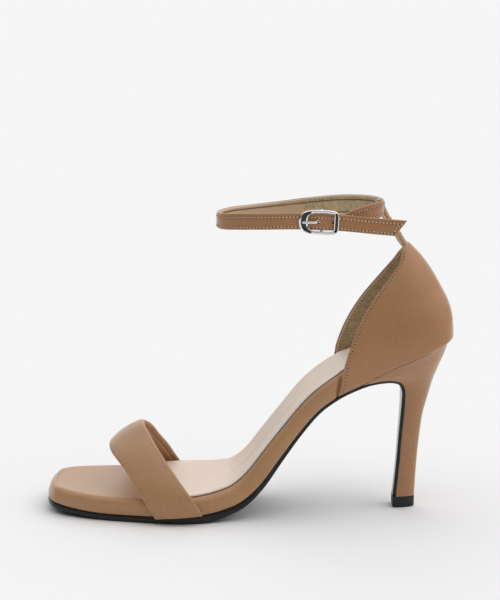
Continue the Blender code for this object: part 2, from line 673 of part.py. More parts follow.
def quarter_rows(count):
    """The quarter's sections, evenly read from the seat line to the top."""
    front_z = at_x("z", QUARTER_FRONT_X)
    back_z = at_x("z", HEEL_SETBACK)
    rows = {"front": HEEL_SETBACK - QUARTER["front"] * QUARTER_LENGTH,
            "back": HEEL_SETBACK - QUARTER["back"] * QUARTER_LENGTH,
            "front_z": front_z + QUARTER["front_rise"] * QUARTER_HEIGHT,
            "back_z": back_z + QUARTER["back_rise"] * QUARTER_HEIGHT,
            "half": QUARTER["half"] * SEAT_WIDTH / 2, "round": QUARTER["round"],
            "lag": QUARTER["lag"] * QUARTER_LENGTH, "dip": QUARTER["dip"] * QUARTER_HEIGHT,
            "arc": QUARTER["arc"]}
    seat = {"front": QUARTER_FRONT_X, "back": HEEL_SETBACK + QUARTER_PROUD, "front_z": front_z,
            "back_z": back_z, "half": at_x("outer", QUARTER_FRONT_X) + QUARTER_PROUD,
            "round": QUARTER["round"][0], "lag": 0.0, "dip": 0.0, "arc": 0.0}
    whole = {name: np.concatenate([[seat[name]], rows[name]]) for name in rows}
    knots = measured(np.column_stack([whole["back"], whole["back_z"], whole["front"], whole["front_z"]]))
    even = np.linspace(0, knots[-1], count)
    read = {name: spline(knots, column, even) for name, column in whole.items()}
    read["seat"] = np.clip(1 - even / knots[1], 0, 1)
    return read


def quarter_grid(count, columns):
    """The quarter's outer face: rows from the seat line up, columns from the outer front edge round."""
    rows = quarter_rows(count)
    seat = seat_sides((QUARTER_FRONT_X, QUARTER_FRONT_X - QUARTER_LEAD), QUARTER_PROUD, columns)
    grid = []
    for i in range(count):
        front, back = rows["front"][i], rows["back"][i]
        plain = rounded_side(front, back, rows["half"][i], rows["round"][i], columns, rows["arc"][i])
        share = (plain[:, 0] - front) / (back - front)
        z = rows["front_z"][i] + (rows["back_z"][i] - rows["front_z"][i]) * share
        outer = np.column_stack([plain, z])
        inner = outer + np.outer(1 - share, (rows["lag"][i], 0, -rows["dip"][i]))
        outer, inner = (side + (own - side) * rows["seat"][i] for side, own in zip((outer, inner), seat))
        grid.append(np.concatenate([outer * (1, -1, 1), inner[-2::-1]]))
    return np.array(grid)


def grid_normals(grid):
    """Unit normals of a grid of points."""
    normal = np.cross(np.gradient(grid, axis=1), np.gradient(grid, axis=0))
    return normal / np.linalg.norm(normal, axis=2)[:, :, None]


def quarter():
    """Heel quarter: a wall of even thickness inside its outer face, open in front and on top."""
    grid = quarter_grid(16, 15)
    normal = grid_normals(grid)
    level = normal[0].copy()
    level[:, 2] = 0
    normal[0] = level / np.linalg.norm(level, axis=1)[:, None]
    return plate(grid, grid - normal * WALL)


def tab_line():
    """Points up the middle of the tab's outer face."""
    rows = quarter_rows(2)
    low = np.array([rows["back"][-1], rows["back_z"][-1]])
    high = np.array([-LOOP_AHEAD, LOOP_HEIGHT])
    share = np.column_stack([TAB["ahead"], TAB["climb"]])
    points = low + share * (high - low)
    s = measured(points)
    return spline(s, points, np.linspace(0, s[-1], 14))


def tab():
    """Back tab: a strip curved round the heel tendon, from inside the quarter up over the strap."""
    line = tab_line()
    along = np.gradient(line, axis=0)
    along /= np.linalg.norm(along, axis=1)[:, None]
    turn = (np.linspace(-0.5, 0.5, 9) * TAB_WIDTH + TAB_TURN) / TAB_ROUND
    depth = TAB_ROUND * (1 - np.cos(turn))
    outside = np.empty((len(line), len(turn), 3))
    outside[:, :, 0] = line[:, :1] - depth[None] * along[:, 1:2]
    outside[:, :, 1] = TAB_ROUND * np.sin(turn)
    outside[:, :, 2] = line[:, 1:] + depth[None] * along[:, :1]
    normal = grid_normals(outside)
    return plate(outside, outside - normal * TAB_THICKNESS)


class Ribbon:
    """A strap's middle line with its own directions: along, outwards from the loop, and up."""

    def __init__(self, points):
        s = measured(points)
        fine = np.linspace(0, s[-1], FINE)
        self.points = spline(s, points, fine)
        self.s = measured(self.points)
        along = np.gradient(self.points, self.s, axis=0)
        self.along = along / np.linalg.norm(along, axis=1)[:, None]
        out = np.cross(self.along, (0, 0, 1))
        self.out = out / np.linalg.norm(out, axis=1)[:, None]
        self.up = np.cross(self.out, self.along)

    def at(self, s, n, b):
        """World points at lengths s, n outwards and b up."""
        s, n, b = np.broadcast_arrays(s, n, b)
        read = [np.stack([np.interp(s, self.s, axis) for axis in way.T], axis=-1)
                for way in (self.points, self.out, self.up)]
        return read[0] + n[..., None] * read[1] + b[..., None] * read[2]


def loop_points(rows):
    """World points from rows in the loop's own shares."""
    return np.column_stack([-LOOP_AHEAD - rows["ahead"] * LOOP_LENGTH, rows["side"] * LOOP_WIDTH / 2,
                            LOOP_HEIGHT - rows["drop"] * LOOP_FALL])


def outer_side_at(ribbon, x):
    """Length along the loop where it passes a place along X on its outer side."""
    back = ribbon.s > ribbon.s[np.argmin(ribbon.points[:, 0])]
    return np.interp(x, ribbon.points[back, 0], ribbon.s[back])


# Places at the buckle: S along the strap, N outwards from the middle of its thickness
LONG = Ribbon(loop_points(LOOP))
BUCKLE_S = outer_side_at(LONG, -BUCKLE_AHEAD)
FOLD_RADIUS = PIVOT_RADIUS + GAP + CARRIER_THICKNESS
PIVOT_N = STRAP_LIFT - STRAP_THICKNESS / 2 - GAP / 2 - FOLD_RADIUS
FRAME_N = STRAP_THICKNESS / 2 + GAP + BUCKLE_WIRE / 2
PRONG_HOLE_S = PIVOT_S - PIVOT_RADIUS - GAP - PRONG_RADIUS


def strap_lift(s):
    """How far the long strap bows out where it passes over the buckle's centre bar."""
    return STRAP_LIFT * np.exp(-((s - BUCKLE_S - PIVOT_S) / LIFT_REACH) ** 2)


def section(width, thickness):
    """A strap's section, out and up, with small bevels, from its lower edge round to it again."""
    bevel = thickness * 0.3
    n, b = thickness / 2, width / 2
    return np.array([(n - bevel, -b), (n, bevel - b), (n, b - bevel), (n - bevel, b),
                     (bevel - n, b), (-n, b - bevel), (-n, bevel - b), (bevel - n, -b)])


def long_strap():
    """The ankle strap from the loop's back round the ankle, through the buckle, to its cut tail."""
    end = LONG.s[-1]
    before, after = BUCKLE_S - 2.5 * LIFT_REACH, BUCKLE_S + 3 * LIFT_REACH
    s = np.concatenate([np.linspace(0, before, 35), np.linspace(before, after, 17)[1:],
                        np.linspace(after, end - 2 * TAIL_SKEW, 9)[1:], [end]])
    shape = section(STRAP_WIDTH, STRAP_THICKNESS)
    loops = []
    for here in s:
        skew = TAIL_SKEW * (0.5 - shape[:, 1] / STRAP_WIDTH) * (here == end)
        loops.append(LONG.at(here - skew, shape[:, 0] + strap_lift(here), shape[:, 1]))
    return loft(loops)


def carrier():
    """The buckle's short strap, folded round the centre bar."""
    inside = -(STRAP_THICKNESS / 2 + GAP + CARRIER_THICKNESS / 2)
    fold = FOLD_RADIUS - CARRIER_THICKNESS / 2
    turn = np.radians([-90, -135, 180, 135, 90, 60])
    rear = [(CARRIER_REACH, inside), (0.64 * CARRIER_REACH, inside),
            (0.36 * CARRIER_REACH, PIVOT_N - 0.75 * fold)]
    curl = [(PIVOT_S + fold * math.cos(t), PIVOT_N + fold * math.sin(t)) for t in turn]
    local = np.array(rear + curl)
    front = LONG.at(BUCKLE_S + local[:, 0], local[:, 1], np.zeros(len(local)))
    ribbon = Ribbon(np.concatenate([loop_points(CARRIER), front]))
    shape = section(STRAP_WIDTH, CARRIER_THICKNESS)
    length = ribbon.s[-1]
    folded = length - 1.2 * CARRIER_REACH
    s = np.concatenate([np.linspace(0, folded, 19), np.linspace(folded, length, 17)[1:]])
    return loft([ribbon.at(here, shape[:, 0], shape[:, 1]) for here in s])


def bored(s, radius, reach):
    """A round cutter through the strap at a length along it."""
    turn = np.arange(12) * math.tau / 12
    loops = [LONG.at(s + radius * np.cos(turn), n, radius * np.sin(turn)) for n in reach]
    return loft(loops, [(i, (12 - i) % 12) for i in range(7)])


def slot():
    """A cutter for the opening in the short strap's fold, where the prong turns."""
    half = PRONG_RADIUS + 2 * GAP
    reach = FOLD_RADIUS + 2 * GAP
    corners = np.array([(-half, -reach), (-half, reach), (half, reach), (half, -reach)])
    stops = np.linspace(-reach, SLOT_LENGTH, 3) + PIVOT_S
    return loft([LONG.at(BUCKLE_S + a, PIVOT_N + corners[:, 1], corners[:, 0]) for a in stops])


def heel_upper():
    """Quarter, tab and straps joined into one hollow upper."""
    upper = solid("heel_upper", quarter(), plain_finish("tan upper", (0.45, 0.25, 0.15), 0.42))
    long_guide = guide("long strap form", long_strap())
    for i in range(1 + SPARE_HOLES):
        place_s = BUCKLE_S + PRONG_HOLE_S + i * STRAP_HOLE_PITCH
        reach = (strap_lift(place_s) - STRAP_THICKNESS, strap_lift(place_s) + STRAP_THICKNESS)
        radius = SPARE_HOLE_RADIUS if i else STRAP_HOLE_RADIUS
        hole = guide(f"strap hole {i}", bored(place_s, radius, reach))
        combine(long_guide, hole, "DIFFERENCE")
    short_guide = guide("short strap form", carrier())
    combine(short_guide, guide("prong slot", slot()), "DIFFERENCE")
    combine(upper, guide("tab form", tab()), "UNION")
    combine(upper, long_guide, "UNION")
    combine(upper, short_guide, "UNION")
    return upper


# Buckle

def tube(points, radius, sides):
    """A round bar along points that lie in one plane across the strap, with flat ends."""
    along = np.gradient(points, axis=0)
    along /= np.linalg.norm(along, axis=1)[:, None]
    flat = np.cross(along, np.cross(points[-1] - points[0], points[len(points) // 2] - points[0]))
    flat /= np.linalg.norm(flat, axis=1)[:, None]
    side = np.cross(along, flat)
    turn = (np.arange(sides) + 0.5) * math.tau / sides
    return [point + radius * (np.cos(turn)[:, None] * f + np.sin(turn)[:, None] * g)
            for point, f, g in zip(points, flat, side)]


def on_strap(local):
    """World points from places along, up and outwards at the buckle."""
    return LONG.at(BUCKLE_S + local[:, 0], local[:, 2], local[:, 1])


def buckle_frame():
    """Frame with a broad round bow, a flat rear bar and a centre bar under the strap."""
    wire = BUCKLE_WIRE / 2
    turn = np.arange(44) * math.tau / 44
    power = np.where(np.cos(turn) < 0, 2.6, 7.0)
    ahead, behind = (BUCKLE_LENGTH - BOW_WIDTH) / 2, (BUCKLE_LENGTH - KEEPER_WIDTH) / 2
    reach = np.where(np.cos(turn) < 0, ahead, behind)
    a = reach * np.sign(np.cos(turn)) * np.abs(np.cos(turn)) ** (2 / power)
    b = (BUCKLE_HEIGHT / 2 - wire) * np.sign(np.sin(turn)) * np.abs(np.sin(turn)) ** (2 / power)
    path = np.column_stack([a, b])
    even = measured(np.concatenate([path, path[:1]]))
    path = spline(even, np.concatenate([path, path[:1]]), np.linspace(0, even[-1], 45))[:-1]
    tangent = np.roll(path, -1, axis=0) - np.roll(path, 1, axis=0)
    tangent /= np.linalg.norm(tangent, axis=1)[:, None]
    across = np.column_stack([tangent[:, 1], -tangent[:, 0]])
    bow = np.clip(-path[:, 0] / ahead, 0, 1) ** 3
    bar = np.clip(path[:, 0] / behind, 0, 1) ** 24
    half = wire + bow * (BOW_WIDTH / 2 - wire) + bar * (KEEPER_WIDTH / 2 - wire)
    ring = (np.arange(10) + 0.5) * math.tau / 10
    loops = []
    for i in range(len(path)):
        flat = path[i] + across[i] * (half[i] * np.cos(ring))[:, None]
        loops.append(on_strap(np.column_stack([flat, FRAME_N + wire * np.sin(ring)])))
    finish = plain_finish("polished metal", (0.75, 0.75, 0.77), 0.12, 1.0)
    frame = solid("buckle_frame", loft(loops, ring=True), finish)
    leg = BUCKLE_HEIGHT / 2 - wire
    nick = PIVOT_BEND * (1 - math.sqrt(0.5))
    drop = np.array([(leg, FRAME_N), (leg, 0.0), (leg, PIVOT_N + PIVOT_BEND),
                     (leg - nick, PIVOT_N + nick), (leg - PIVOT_BEND, PIVOT_N),
                     (leg - 2 * PIVOT_BEND, PIVOT_N), (0.0, PIVOT_N)])
    both = np.concatenate([drop, drop[-2::-1] * (-1, 1)])
    s = measured(both)
    bent = spline(s, both, np.linspace(0, s[-1], 22))
    bar_line = on_strap(np.column_stack([np.full(len(bent), PIVOT_S), bent[:, 0], bent[:, 1]]))
    combine(frame, guide("centre bar form", loft(tube(bar_line, PIVOT_RADIUS, 8))), "UNION")
    return frame


def buckle_prong():
    """Prong: an eye round the centre bar, up through the strap's hole, then forward onto the bow."""
    eye = PIVOT_RADIUS + GAP + PRONG_RADIUS
    turn = np.radians(np.arange(60, -181, -30))
    circle = [(PIVOT_S + eye * math.cos(t), PIVOT_N + eye * math.sin(t)) for t in turn]
    bow_top = FRAME_N + BUCKLE_WIRE / 2 + PRONG_RADIUS + GAP
    tip = BUCKLE_WIRE - BUCKLE_LENGTH / 2
    rest = np.column_stack([PRONG_HOLE_S + PRONG["ahead"] * (tip - PRONG_HOLE_S),
                            PRONG["climb"] * bow_top])
    points = np.concatenate([circle, rest])
    s = measured(points)
    bent = spline(s, points, np.linspace(0, s[-1], 40))
    line = on_strap(np.column_stack([bent[:, 0], np.zeros(len(bent)), bent[:, 1]]))
    finish = plain_finish("polished prong", (0.75, 0.75, 0.77), 0.12, 1.0)
    return solid("buckle_prong", loft(tube(line, PRONG_RADIUS, 8)), finish)


def main():
    for piece in list(bpy.data.objects):
        bpy.data.objects.remove(piece, do_unlink=True)
    outsole()
    footbed()
    sock()
    heel()
    top_piece()
    toe_band()
    heel_upper()
    buckle_frame()
    buckle_prong()


main()
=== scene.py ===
import math

import bmesh
import bpy
import numpy as np
from mathutils import Matrix, Vector


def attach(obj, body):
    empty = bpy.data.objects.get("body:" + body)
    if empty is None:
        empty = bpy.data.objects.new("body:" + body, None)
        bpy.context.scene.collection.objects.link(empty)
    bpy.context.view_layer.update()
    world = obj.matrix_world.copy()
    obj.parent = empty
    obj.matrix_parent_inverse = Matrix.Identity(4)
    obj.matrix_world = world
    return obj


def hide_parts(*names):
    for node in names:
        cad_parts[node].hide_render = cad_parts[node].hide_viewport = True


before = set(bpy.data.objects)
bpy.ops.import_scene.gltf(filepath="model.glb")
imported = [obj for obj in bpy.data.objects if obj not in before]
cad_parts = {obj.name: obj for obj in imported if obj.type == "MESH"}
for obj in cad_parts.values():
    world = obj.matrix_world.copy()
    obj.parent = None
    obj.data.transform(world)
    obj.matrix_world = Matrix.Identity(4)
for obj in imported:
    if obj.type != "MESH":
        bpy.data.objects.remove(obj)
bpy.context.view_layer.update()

# Sizes of the sandal in metres, the same as the solids have
SOLE_LENGTH = 0.2087
HEEL_SETBACK = 0.0217
SEAT_HEIGHT = 0.0915
BALL_WIDTH = 0.0765
SEAT_WIDTH = 0.0515
GAP = 0.0003
OUTSOLE_THICKNESS = 0.0044
OUTSOLE_INSET = 0.0012
OUTSOLE_EDGE = 0.0006
FLAP_THICKNESS = 0.0015
TURN_BEFORE = 0.0050
TURN_AFTER = 0.0040
FOOTBED_THICKNESS = 0.0088
FOOTBED_EDGE_RADIUS = 0.0032
FOOTBED_TUCK = 0.0009
DISH = 0.0010
SOCK_THICKNESS = 0.0011
SOCK_MARGIN = 0.0021
SOCK_START = 0.0560
WALL = 0.0018
QUARTER_PROUD = 0.0005
HEEL_SHY = 0.0011
QUARTER_LENGTH = 0.0590
QUARTER_LEAD = 0.0020
QUARTER_HEIGHT = 0.0500
TOP_PIECE_HEIGHT = 0.0056
TOP_PIECE_LENGTH = 0.0098
TOP_PIECE_WIDTH = 0.0104
BAND_START = 0.0320
BAND_RUN = 0.0495
BAND_HEIGHT = 0.0445
BAND_EDGE = 0.0022
BAND_PAD = 0.0014
STRAP_WIDTH = 0.0083
STRAP_THICKNESS = 0.0017
STRAP_LIFT = 0.0012
LIFT_REACH = 0.0042
CARRIER_THICKNESS = 0.0013
CARRIER_REACH = 0.0125
SLOT_LENGTH = 0.0050
LOOP_LENGTH = 0.0852
LOOP_WIDTH = 0.0500
LOOP_HEIGHT = 0.1582
LOOP_FALL = 0.0062
LOOP_AHEAD = 0.0132
TAIL_SKEW = 0.0054
TAB_WIDTH = 0.0140
TAB_ROUND = 0.0120
TAB_TURN = 0.0012
TAB_THICKNESS = 0.0019
BUCKLE_AHEAD = 0.0480
BUCKLE_LENGTH = 0.0202
BUCKLE_HEIGHT = 0.0124
BUCKLE_WIRE = 0.0016
BOW_WIDTH = 0.0046
KEEPER_WIDTH = 0.0026
PIVOT_RADIUS = 0.0007
PIVOT_BEND = 0.0009
PIVOT_S = 0.0011
PRONG_RADIUS = 0.0006
STRAP_HOLE_RADIUS = 0.0010
SPARE_HOLE_RADIUS = 0.0006
STRAP_HOLE_PITCH = 0.0074
SPARE_HOLES = 1
SEAT_FRONT = 0.778

TOE_X = HEEL_SETBACK - SOLE_LENGTH
SEAT_FRONT_X = TOE_X + SEAT_FRONT * SOLE_LENGTH
QUARTER_FRONT_X = HEEL_SETBACK - QUARTER_LENGTH
FINE = 1500  # samples of a profile before it is read
SHALLOW_ARC = math.radians(48)

# Finishing sizes
STITCH_PITCH = 0.0018
THREAD_RADIUS = 0.00025
NEEDLE_RADIUS = 0.00030
TOP_STITCH = 0.0020  # strap's upper edge to its row of stitches
LOW_STITCH = 0.0014  # strap's lower edge to its row of stitches
FRONT_STITCH = 0.0020  # quarter's front edge to its row
GROOVE = 0.00013  # how deep a row of stitches pulls the leather in
GROOVE_WIDTH = 0.0005
EDGE_FADE = 0.001  # how far in from an edge pulls and swells are whole
LINING_STEP = 0.0002
WRAP_SEAM = 0.0004
STRAP_SPREAD = 0.0026
SEAM_SHADE_HEIGHT = 0.0009  # height of the painted shade line along the quarter's seat
SEAT_BLEND = 2.2  # how much farther up the quarter follows the seat's level than its outline
MERGE = 2e-6  # points closer than this become one
# Parts of the sky: direction, cosines at which it starts and is full, strength outside and inside
SKY = (((0.0, 0.20, 0.980), 0.10, 0.85, 0.04, 1.00), ((0.0, 0.98, 0.20), 0.72, 1.0, 0.0, 0.95),
       ((0.72, -0.20, 0.66), 0.60, 1.0, 0.0, 0.80))
LINING_SEAM_X = -0.0543  # where the far strap's suede lining meets the smooth one

# Distances in from a leather edge at which a surface gets its own row of points
EDGE_STEPS = np.array([0, 0.03, 0.1, 0.22, 0.4, 0.62, 0.85, 1.05, 1.2, 1.35,
                       1.55, 1.8, 2.0, 2.2, 2.5, 2.9]) / 1000


def table(names, rows):
    """The rows as one array for each named column."""
    return dict(zip(names.split(), np.array(rows, float).T))


LAST = table("along rise outer inner seat sole bed square", [
    (0.000, 0.083, 0.000, 0.000, 0.00, 0.70, 0.90, 1.00),
    (0.012, 0.074, 0.205, 0.215, 0.00, 0.70, 0.92, 1.00),
    (0.034, 0.066, 0.272, 0.308, 0.00, 0.70, 0.94, 1.00),
    (0.072, 0.055, 0.330, 0.378, 0.00, 0.68, 0.96, 1.00),
    (0.130, 0.044, 0.388, 0.430, 0.00, 0.68, 0.98, 1.00),
    (0.200, 0.041, 0.430, 0.462, 0.00, 0.82, 0.98, 1.00),
    (0.272, 0.041, 0.466, 0.487, 0.00, 0.96, 1.00, 1.00),
    (0.335, 0.044, 0.485, 0.500, 0.00, 1.02, 1.02, 1.00),
    (0.392, 0.054, 0.478, 0.478, 0.04, 1.02, 1.04, 1.00),
    (0.440, 0.077, 0.468, 0.425, 0.16, 0.93, 1.04, 1.00),
    (0.484, 0.117, 0.470, 0.382, 0.36, 0.77, 1.02, 1.00),
    (0.528, 0.205, 0.480, 0.366, 0.58, 0.58, 0.98, 1.00),
    (0.574, 0.346, 0.490, 0.390, 0.76, 0.45, 0.93, 1.00),
    (0.622, 0.494, 0.500, 0.430, 0.90, 0.37, 0.88, 0.95),
    (0.668, 0.618, 0.505, 0.470, 0.98, 0.35, 0.90, 0.60),
    (0.716, 0.700, 0.500, 0.492, 1.00, 0.33, 1.04, -0.30),
    (0.778, 0.772, 0.495, 0.495, 1.00, 0.33, 1.04, -0.20),
    (0.836, 0.848, 0.492, 0.492, 1.00, 0.33, 1.02, -0.10),
    (0.893, 0.902, 0.488, 0.485, 1.00, 0.33, 0.98, 0.00),
    (0.946, 0.952, 0.430, 0.425, 1.00, 0.33, 0.94, 0.00),
    (0.980, 0.983, 0.310, 0.305, 1.00, 0.33, 0.92, 0.00),
    (1.000, 1.000, 0.000, 0.000, 1.00, 0.33, 0.90, 0.00),
])

HEEL = table("front back front_rise back_rise flare round", [
    (1.000, 1.000, 1.000, 1.000, 1.000, 2.5),
    (0.510, 0.882, 1.022, 0.915, 0.850, 2.4),
    (0.165, 0.708, 1.012, 0.832, 0.660, 2.3),
    (-0.060, 0.545, 0.974, 0.752, 0.450, 2.3),
    (-0.165, 0.430, 0.900, 0.676, 0.285, 2.3),
    (-0.180, 0.328, 0.795, 0.600, 0.165, 2.3),
    (-0.165, 0.224, 0.690, 0.522, 0.095, 2.3),
    (-0.125, 0.132, 0.510, 0.390, 0.048, 2.3),
    (-0.080, 0.056, 0.290, 0.222, 0.018, 2.3),
    (0.000, 0.000, 0.000, 0.000, 0.000, 2.3),
])

QUARTER = table("front back front_rise back_rise half round lag dip arc", [
    (0.985, -0.018, 0.150, 0.105, 1.052, 4.2, -0.025, 0.00, 0.0),
    (0.938, -0.008, 0.370, 0.238, 1.048, 3.8, -0.027, 0.00, 0.0),
    (0.871, 0.026, 0.610, 0.382, 0.985, 3.3, -0.018, 0.00, 0.0),
    (0.777, 0.092, 0.850, 0.530, 0.870, 2.8, -0.001, 0.00, 0.0),
    (0.651, 0.173, 1.075, 0.695, 0.720, 2.5, 0.009, 0.00, 0.0),
    (0.534, 0.264, 1.245, 0.840, 0.560, 2.3, -0.009, 0.01, 0.2),
    (0.459, 0.341, 1.375, 0.935, 0.420, 2.1, -0.033, 0.05, 0.6),
    (0.444, 0.383, 1.480, 0.985, 0.330, 2.0, -0.022, 0.10, 1.0),
])

BAND = table("side front front_rise rear rear_rise", [
    (-1.00, 0.505, -0.014, 0.995, 0.004),
    (-1.01, 0.414, 0.160, 0.917, 0.195),
    (-0.96, 0.323, 0.346, 0.828, 0.346),
    (-0.84, 0.232, 0.500, 0.701, 0.548),
    (-0.66, 0.121, 0.642, 0.576, 0.731),
    (-0.38, 0.030, 0.716, 0.465, 0.877),
    (0.00, 0.000, 0.736, 0.364, 0.997),
    (0.20, 0.020, 0.728, 0.354, 0.995),
    (0.37, 0.050, 0.690, 0.424, 0.914),
    (0.62, 0.101, 0.605, 0.525, 0.696),
    (0.82, 0.176, 0.457, 0.626, 0.486),
    (0.95, 0.253, 0.284, 0.697, 0.309),
    (1.01, 0.313, 0.136, 0.768, 0.160),
    (1.00, 0.374, 0.010, 0.838, 0.010),
])

LOOP = table("ahead side drop", [
    (0.016, -0.16, 0.00),
    (0.022, 0.20, 0.00),
    (0.085, 0.61, 0.04),
    (0.235, 0.89, 0.16),
    (0.420, 1.00, 0.45),
    (0.620, 0.98, 0.80),
    (0.805, 0.80, 1.00),
    (0.940, 0.45, 1.02),
    (1.000, 0.00, 1.05),
    (0.970, -0.41, 0.95),
    (0.865, -0.74, 0.75),
    (0.720, -0.94, 0.60),
    (0.555, -1.04, 0.50),
    (0.390, -1.09, 0.50),
    (0.240, -1.13, 0.60),
    (0.080, -1.16, 0.79),
    (-0.104, -1.18, 0.98),
])

CARRIER = table("ahead side drop", [
    (0.016, -0.20, -0.18),
    (0.035, -0.50, -0.16),
    (0.105, -0.78, -0.08),
    (0.185, -0.96, 0.15),
])

TAB = table("ahead climb", [
    (-0.575, -0.560),
    (-0.235, -0.240),
    (0.090, 0.010),
    (0.323, 0.275),
    (0.765, 0.720),
    (1.022, 1.080),
    (1.180, 1.310),
])

PRONG = table("ahead climb", [
    (0.00, 0.05),
    (0.01, 0.52),
    (0.15, 0.90),
    (0.44, 1.00),
    (1.00, 1.00),
])


# Curves

def spline(knots, values, at):
    """A smooth curve through one value a knot, with the slopes of parabolas through neighbours."""
    knots = np.asarray(knots, float)
    values = np.asarray(values, float)
    step = np.diff(knots)
    shape = (-1,) + (1,) * (values.ndim - 1)
    wide = step.reshape(shape)
    rise = np.diff(values, axis=0) / wide
    slope = np.empty_like(values)
    slope[1:-1] = (rise[:-1] * wide[1:] + rise[1:] * wide[:-1]) / (wide[:-1] + wide[1:])
    slope[0] = 1.5 * rise[0] - 0.5 * slope[1]
    slope[-1] = 1.5 * rise[-1] - 0.5 * slope[-2]
    at = np.clip(at, knots[0], knots[-1])
    i = np.clip(np.searchsorted(knots, at, side="right") - 1, 0, len(step) - 1)
    t = ((at - knots[i]) / step[i]).reshape(shape)
    h = step[i].reshape(shape)
    return ((1 + 2 * t) * (1 - t) ** 2 * values[i] + t * (1 - t) ** 2 * h * slope[i]
            + t * t * (3 - 2 * t) * values[i + 1] + t * t * (t - 1) * h * slope[i + 1])


def measured(points):
    """Length along a line of points, from its first one."""
    steps = np.linalg.norm(np.diff(points, axis=0), axis=1)
    return np.concatenate([[0.0], np.cumsum(steps)])


def along_line(points, distances):
    """Points at given distances along a line of points."""
    s = measured(points)
    return np.column_stack([np.interp(distances, s, column) for column in points.T])


def smooth(t):
    """A soft step from 0 to 1 as t goes from 0 to 1."""
    t = np.clip(t, 0, 1)
    return t * t * (3 - 2 * t)


def bell(x, width):
    """A round bump of height 1 and the given half width."""
    return np.exp(-(x / width) ** 2)


def edged(total, count, first=EDGE_STEPS, last=EDGE_STEPS):
    """Distances across a sheet: close together in from each edge, and even between."""
    middle = np.linspace(first[-1], total - last[-1], count + 2)[1:-1]
    return np.concatenate([first, middle, total - last[::-1]])


def unit(vectors):
    """The same directions with length 1."""
    return vectors / np.maximum(np.linalg.norm(vectors, axis=-1, keepdims=True), 1e-12)


# The last

def last_line():
    """The last's profile, sampled finely, with its widths, thicknesses and section leans."""
    u = np.linspace(0, 1, FINE)
    knots = np.arccos(1 - 2 * LAST["along"]) / math.pi
    read = {name: spline(knots, column, u) for name, column in LAST.items()}
    along = (1 - np.cos(math.pi * u)) / 2
    read["rise"] = spline(LAST["along"], LAST["rise"], along)
    width = BALL_WIDTH + (SEAT_WIDTH - BALL_WIDTH) * read["seat"]
    line = {"x": TOE_X + along * SOLE_LENGTH, "z": read["rise"] * SEAT_HEIGHT,
            "outer": read["outer"] * width, "inner": read["inner"] * width, "u": u}
    line["s"] = measured(np.column_stack([line["x"], line["z"]]))
    slope = np.arctan2(np.gradient(line["z"], line["s"]), np.gradient(line["x"], line["s"]))
    line["lean"] = slope * read["square"]
    line["bed"] = read["bed"] * FOOTBED_THICKNESS / np.cos(slope - line["lean"])
    line["sole"] = read["sole"] * OUTSOLE_THICKNESS
    return line


LINE = last_line()


def at_x(name, x):
    """What the last has at a place along X."""
    return np.interp(x, LINE["x"], LINE[name])


def at_s(name, s):
    """What the last has at lengths along its profile."""
    return np.interp(s, LINE["s"], LINE[name])


def stations(x_start, x_end, count):
    """Lengths along the last's profile from one X to another, close together at its round ends."""
    return np.interp(np.linspace(at_x("u", x_start), at_x("u", x_end), count), LINE["u"], LINE["s"])


def place(line, s, y, n):
    """World points n above a profile, s along it and y across it."""
    x, z, lean = (np.interp(s, line["s"], line[name]) for name in ("x", "z", "lean"))
    return np.stack([x - n * np.sin(lean), y, z + n * np.cos(lean)], axis=-1)


def both_sides(line, s, inset, cut=lambda points: 0):
    """Outer and inner edge of the plan outline at each station, moved inwards along its own normal."""
    outer, inner = (np.interp(s, line["s"], line[name]) for name in ("outer", "inner"))
    first = int(outer[0] + inner[0] < GAP)
    final = len(s) - int(outer[-1] + inner[-1] < GAP)
    points = np.concatenate([np.column_stack([s, -outer]),
                             np.column_stack([s[first:final], inner[first:final]])[::-1]])
    tangent = np.roll(points, -1, axis=0) - np.roll(points, 1, axis=0)
    for end in [0] * (first == 0) + [len(s)] * (final == len(s)):
        tangent[end] = points[end + 1] - points[end]
        tangent[end - 1] = points[end - 1] - points[end - 2]
    tangent = unit(tangent)
    inset = np.broadcast_to(inset + cut(points), len(points))[:, None]
    points = points + inset * np.column_stack([-tangent[:, 1], tangent[:, 0]])
    back = (len(points) - (1 - first) - np.arange(len(s))) % len(points)
    return points[:len(s)], points[back]


def under_quarter(points):
    """How far an outline is cut back where the quarter covers the footbed's side."""
    ramp = 0.0010
    x = at_s("x", points[:, 0]) + QUARTER_LEAD * (points[:, 1] > 0)
    return (WALL + GAP - QUARTER_PROUD) * smooth((x - (QUARTER_FRONT_X - GAP - ramp)) / ramp)


# Meshes

def grid_faces(rows, columns, ring=False):
    """Four-cornered faces between the neighbours of a grid, whose columns may close into a ring."""
    r, c = np.meshgrid(np.arange(rows - 1), np.arange(columns if ring else columns - 1), indexing="ij")
    c2 = (c + 1) % columns
    return np.stack([r * columns + c, r * columns + c2, (r + 1) * columns + c2, (r + 1) * columns + c],
                    axis=-1).reshape(-1, 4)


def closed_mesh(name, points, faces, finishes, zones=None):
    """A new object with its doubles merged at seams and poles and its faces turned outwards."""
    mesh = bpy.data.meshes.new(name)
    mesh.from_pydata(np.asarray(points).reshape(-1, 3), [], np.asarray(faces).tolist())
    for finish in finishes:
        mesh.materials.append(finish)
    if zones is not None:
        mesh.polygons.foreach_set("material_index", np.asarray(zones, np.int32).ravel())
    work = bmesh.new()
    work.from_mesh(mesh)
    bmesh.ops.remove_doubles(work, verts=work.verts, dist=MERGE)
    bmesh.ops.dissolve_degenerate(work, edges=work.edges, dist=1e-7)
    bmesh.ops.recalc_face_normals(work, faces=work.faces)
    work.to_mesh(mesh)
    work.free()
    made = bpy.data.objects.new(name, mesh)
    bpy.context.scene.collection.objects.link(made)
    return made


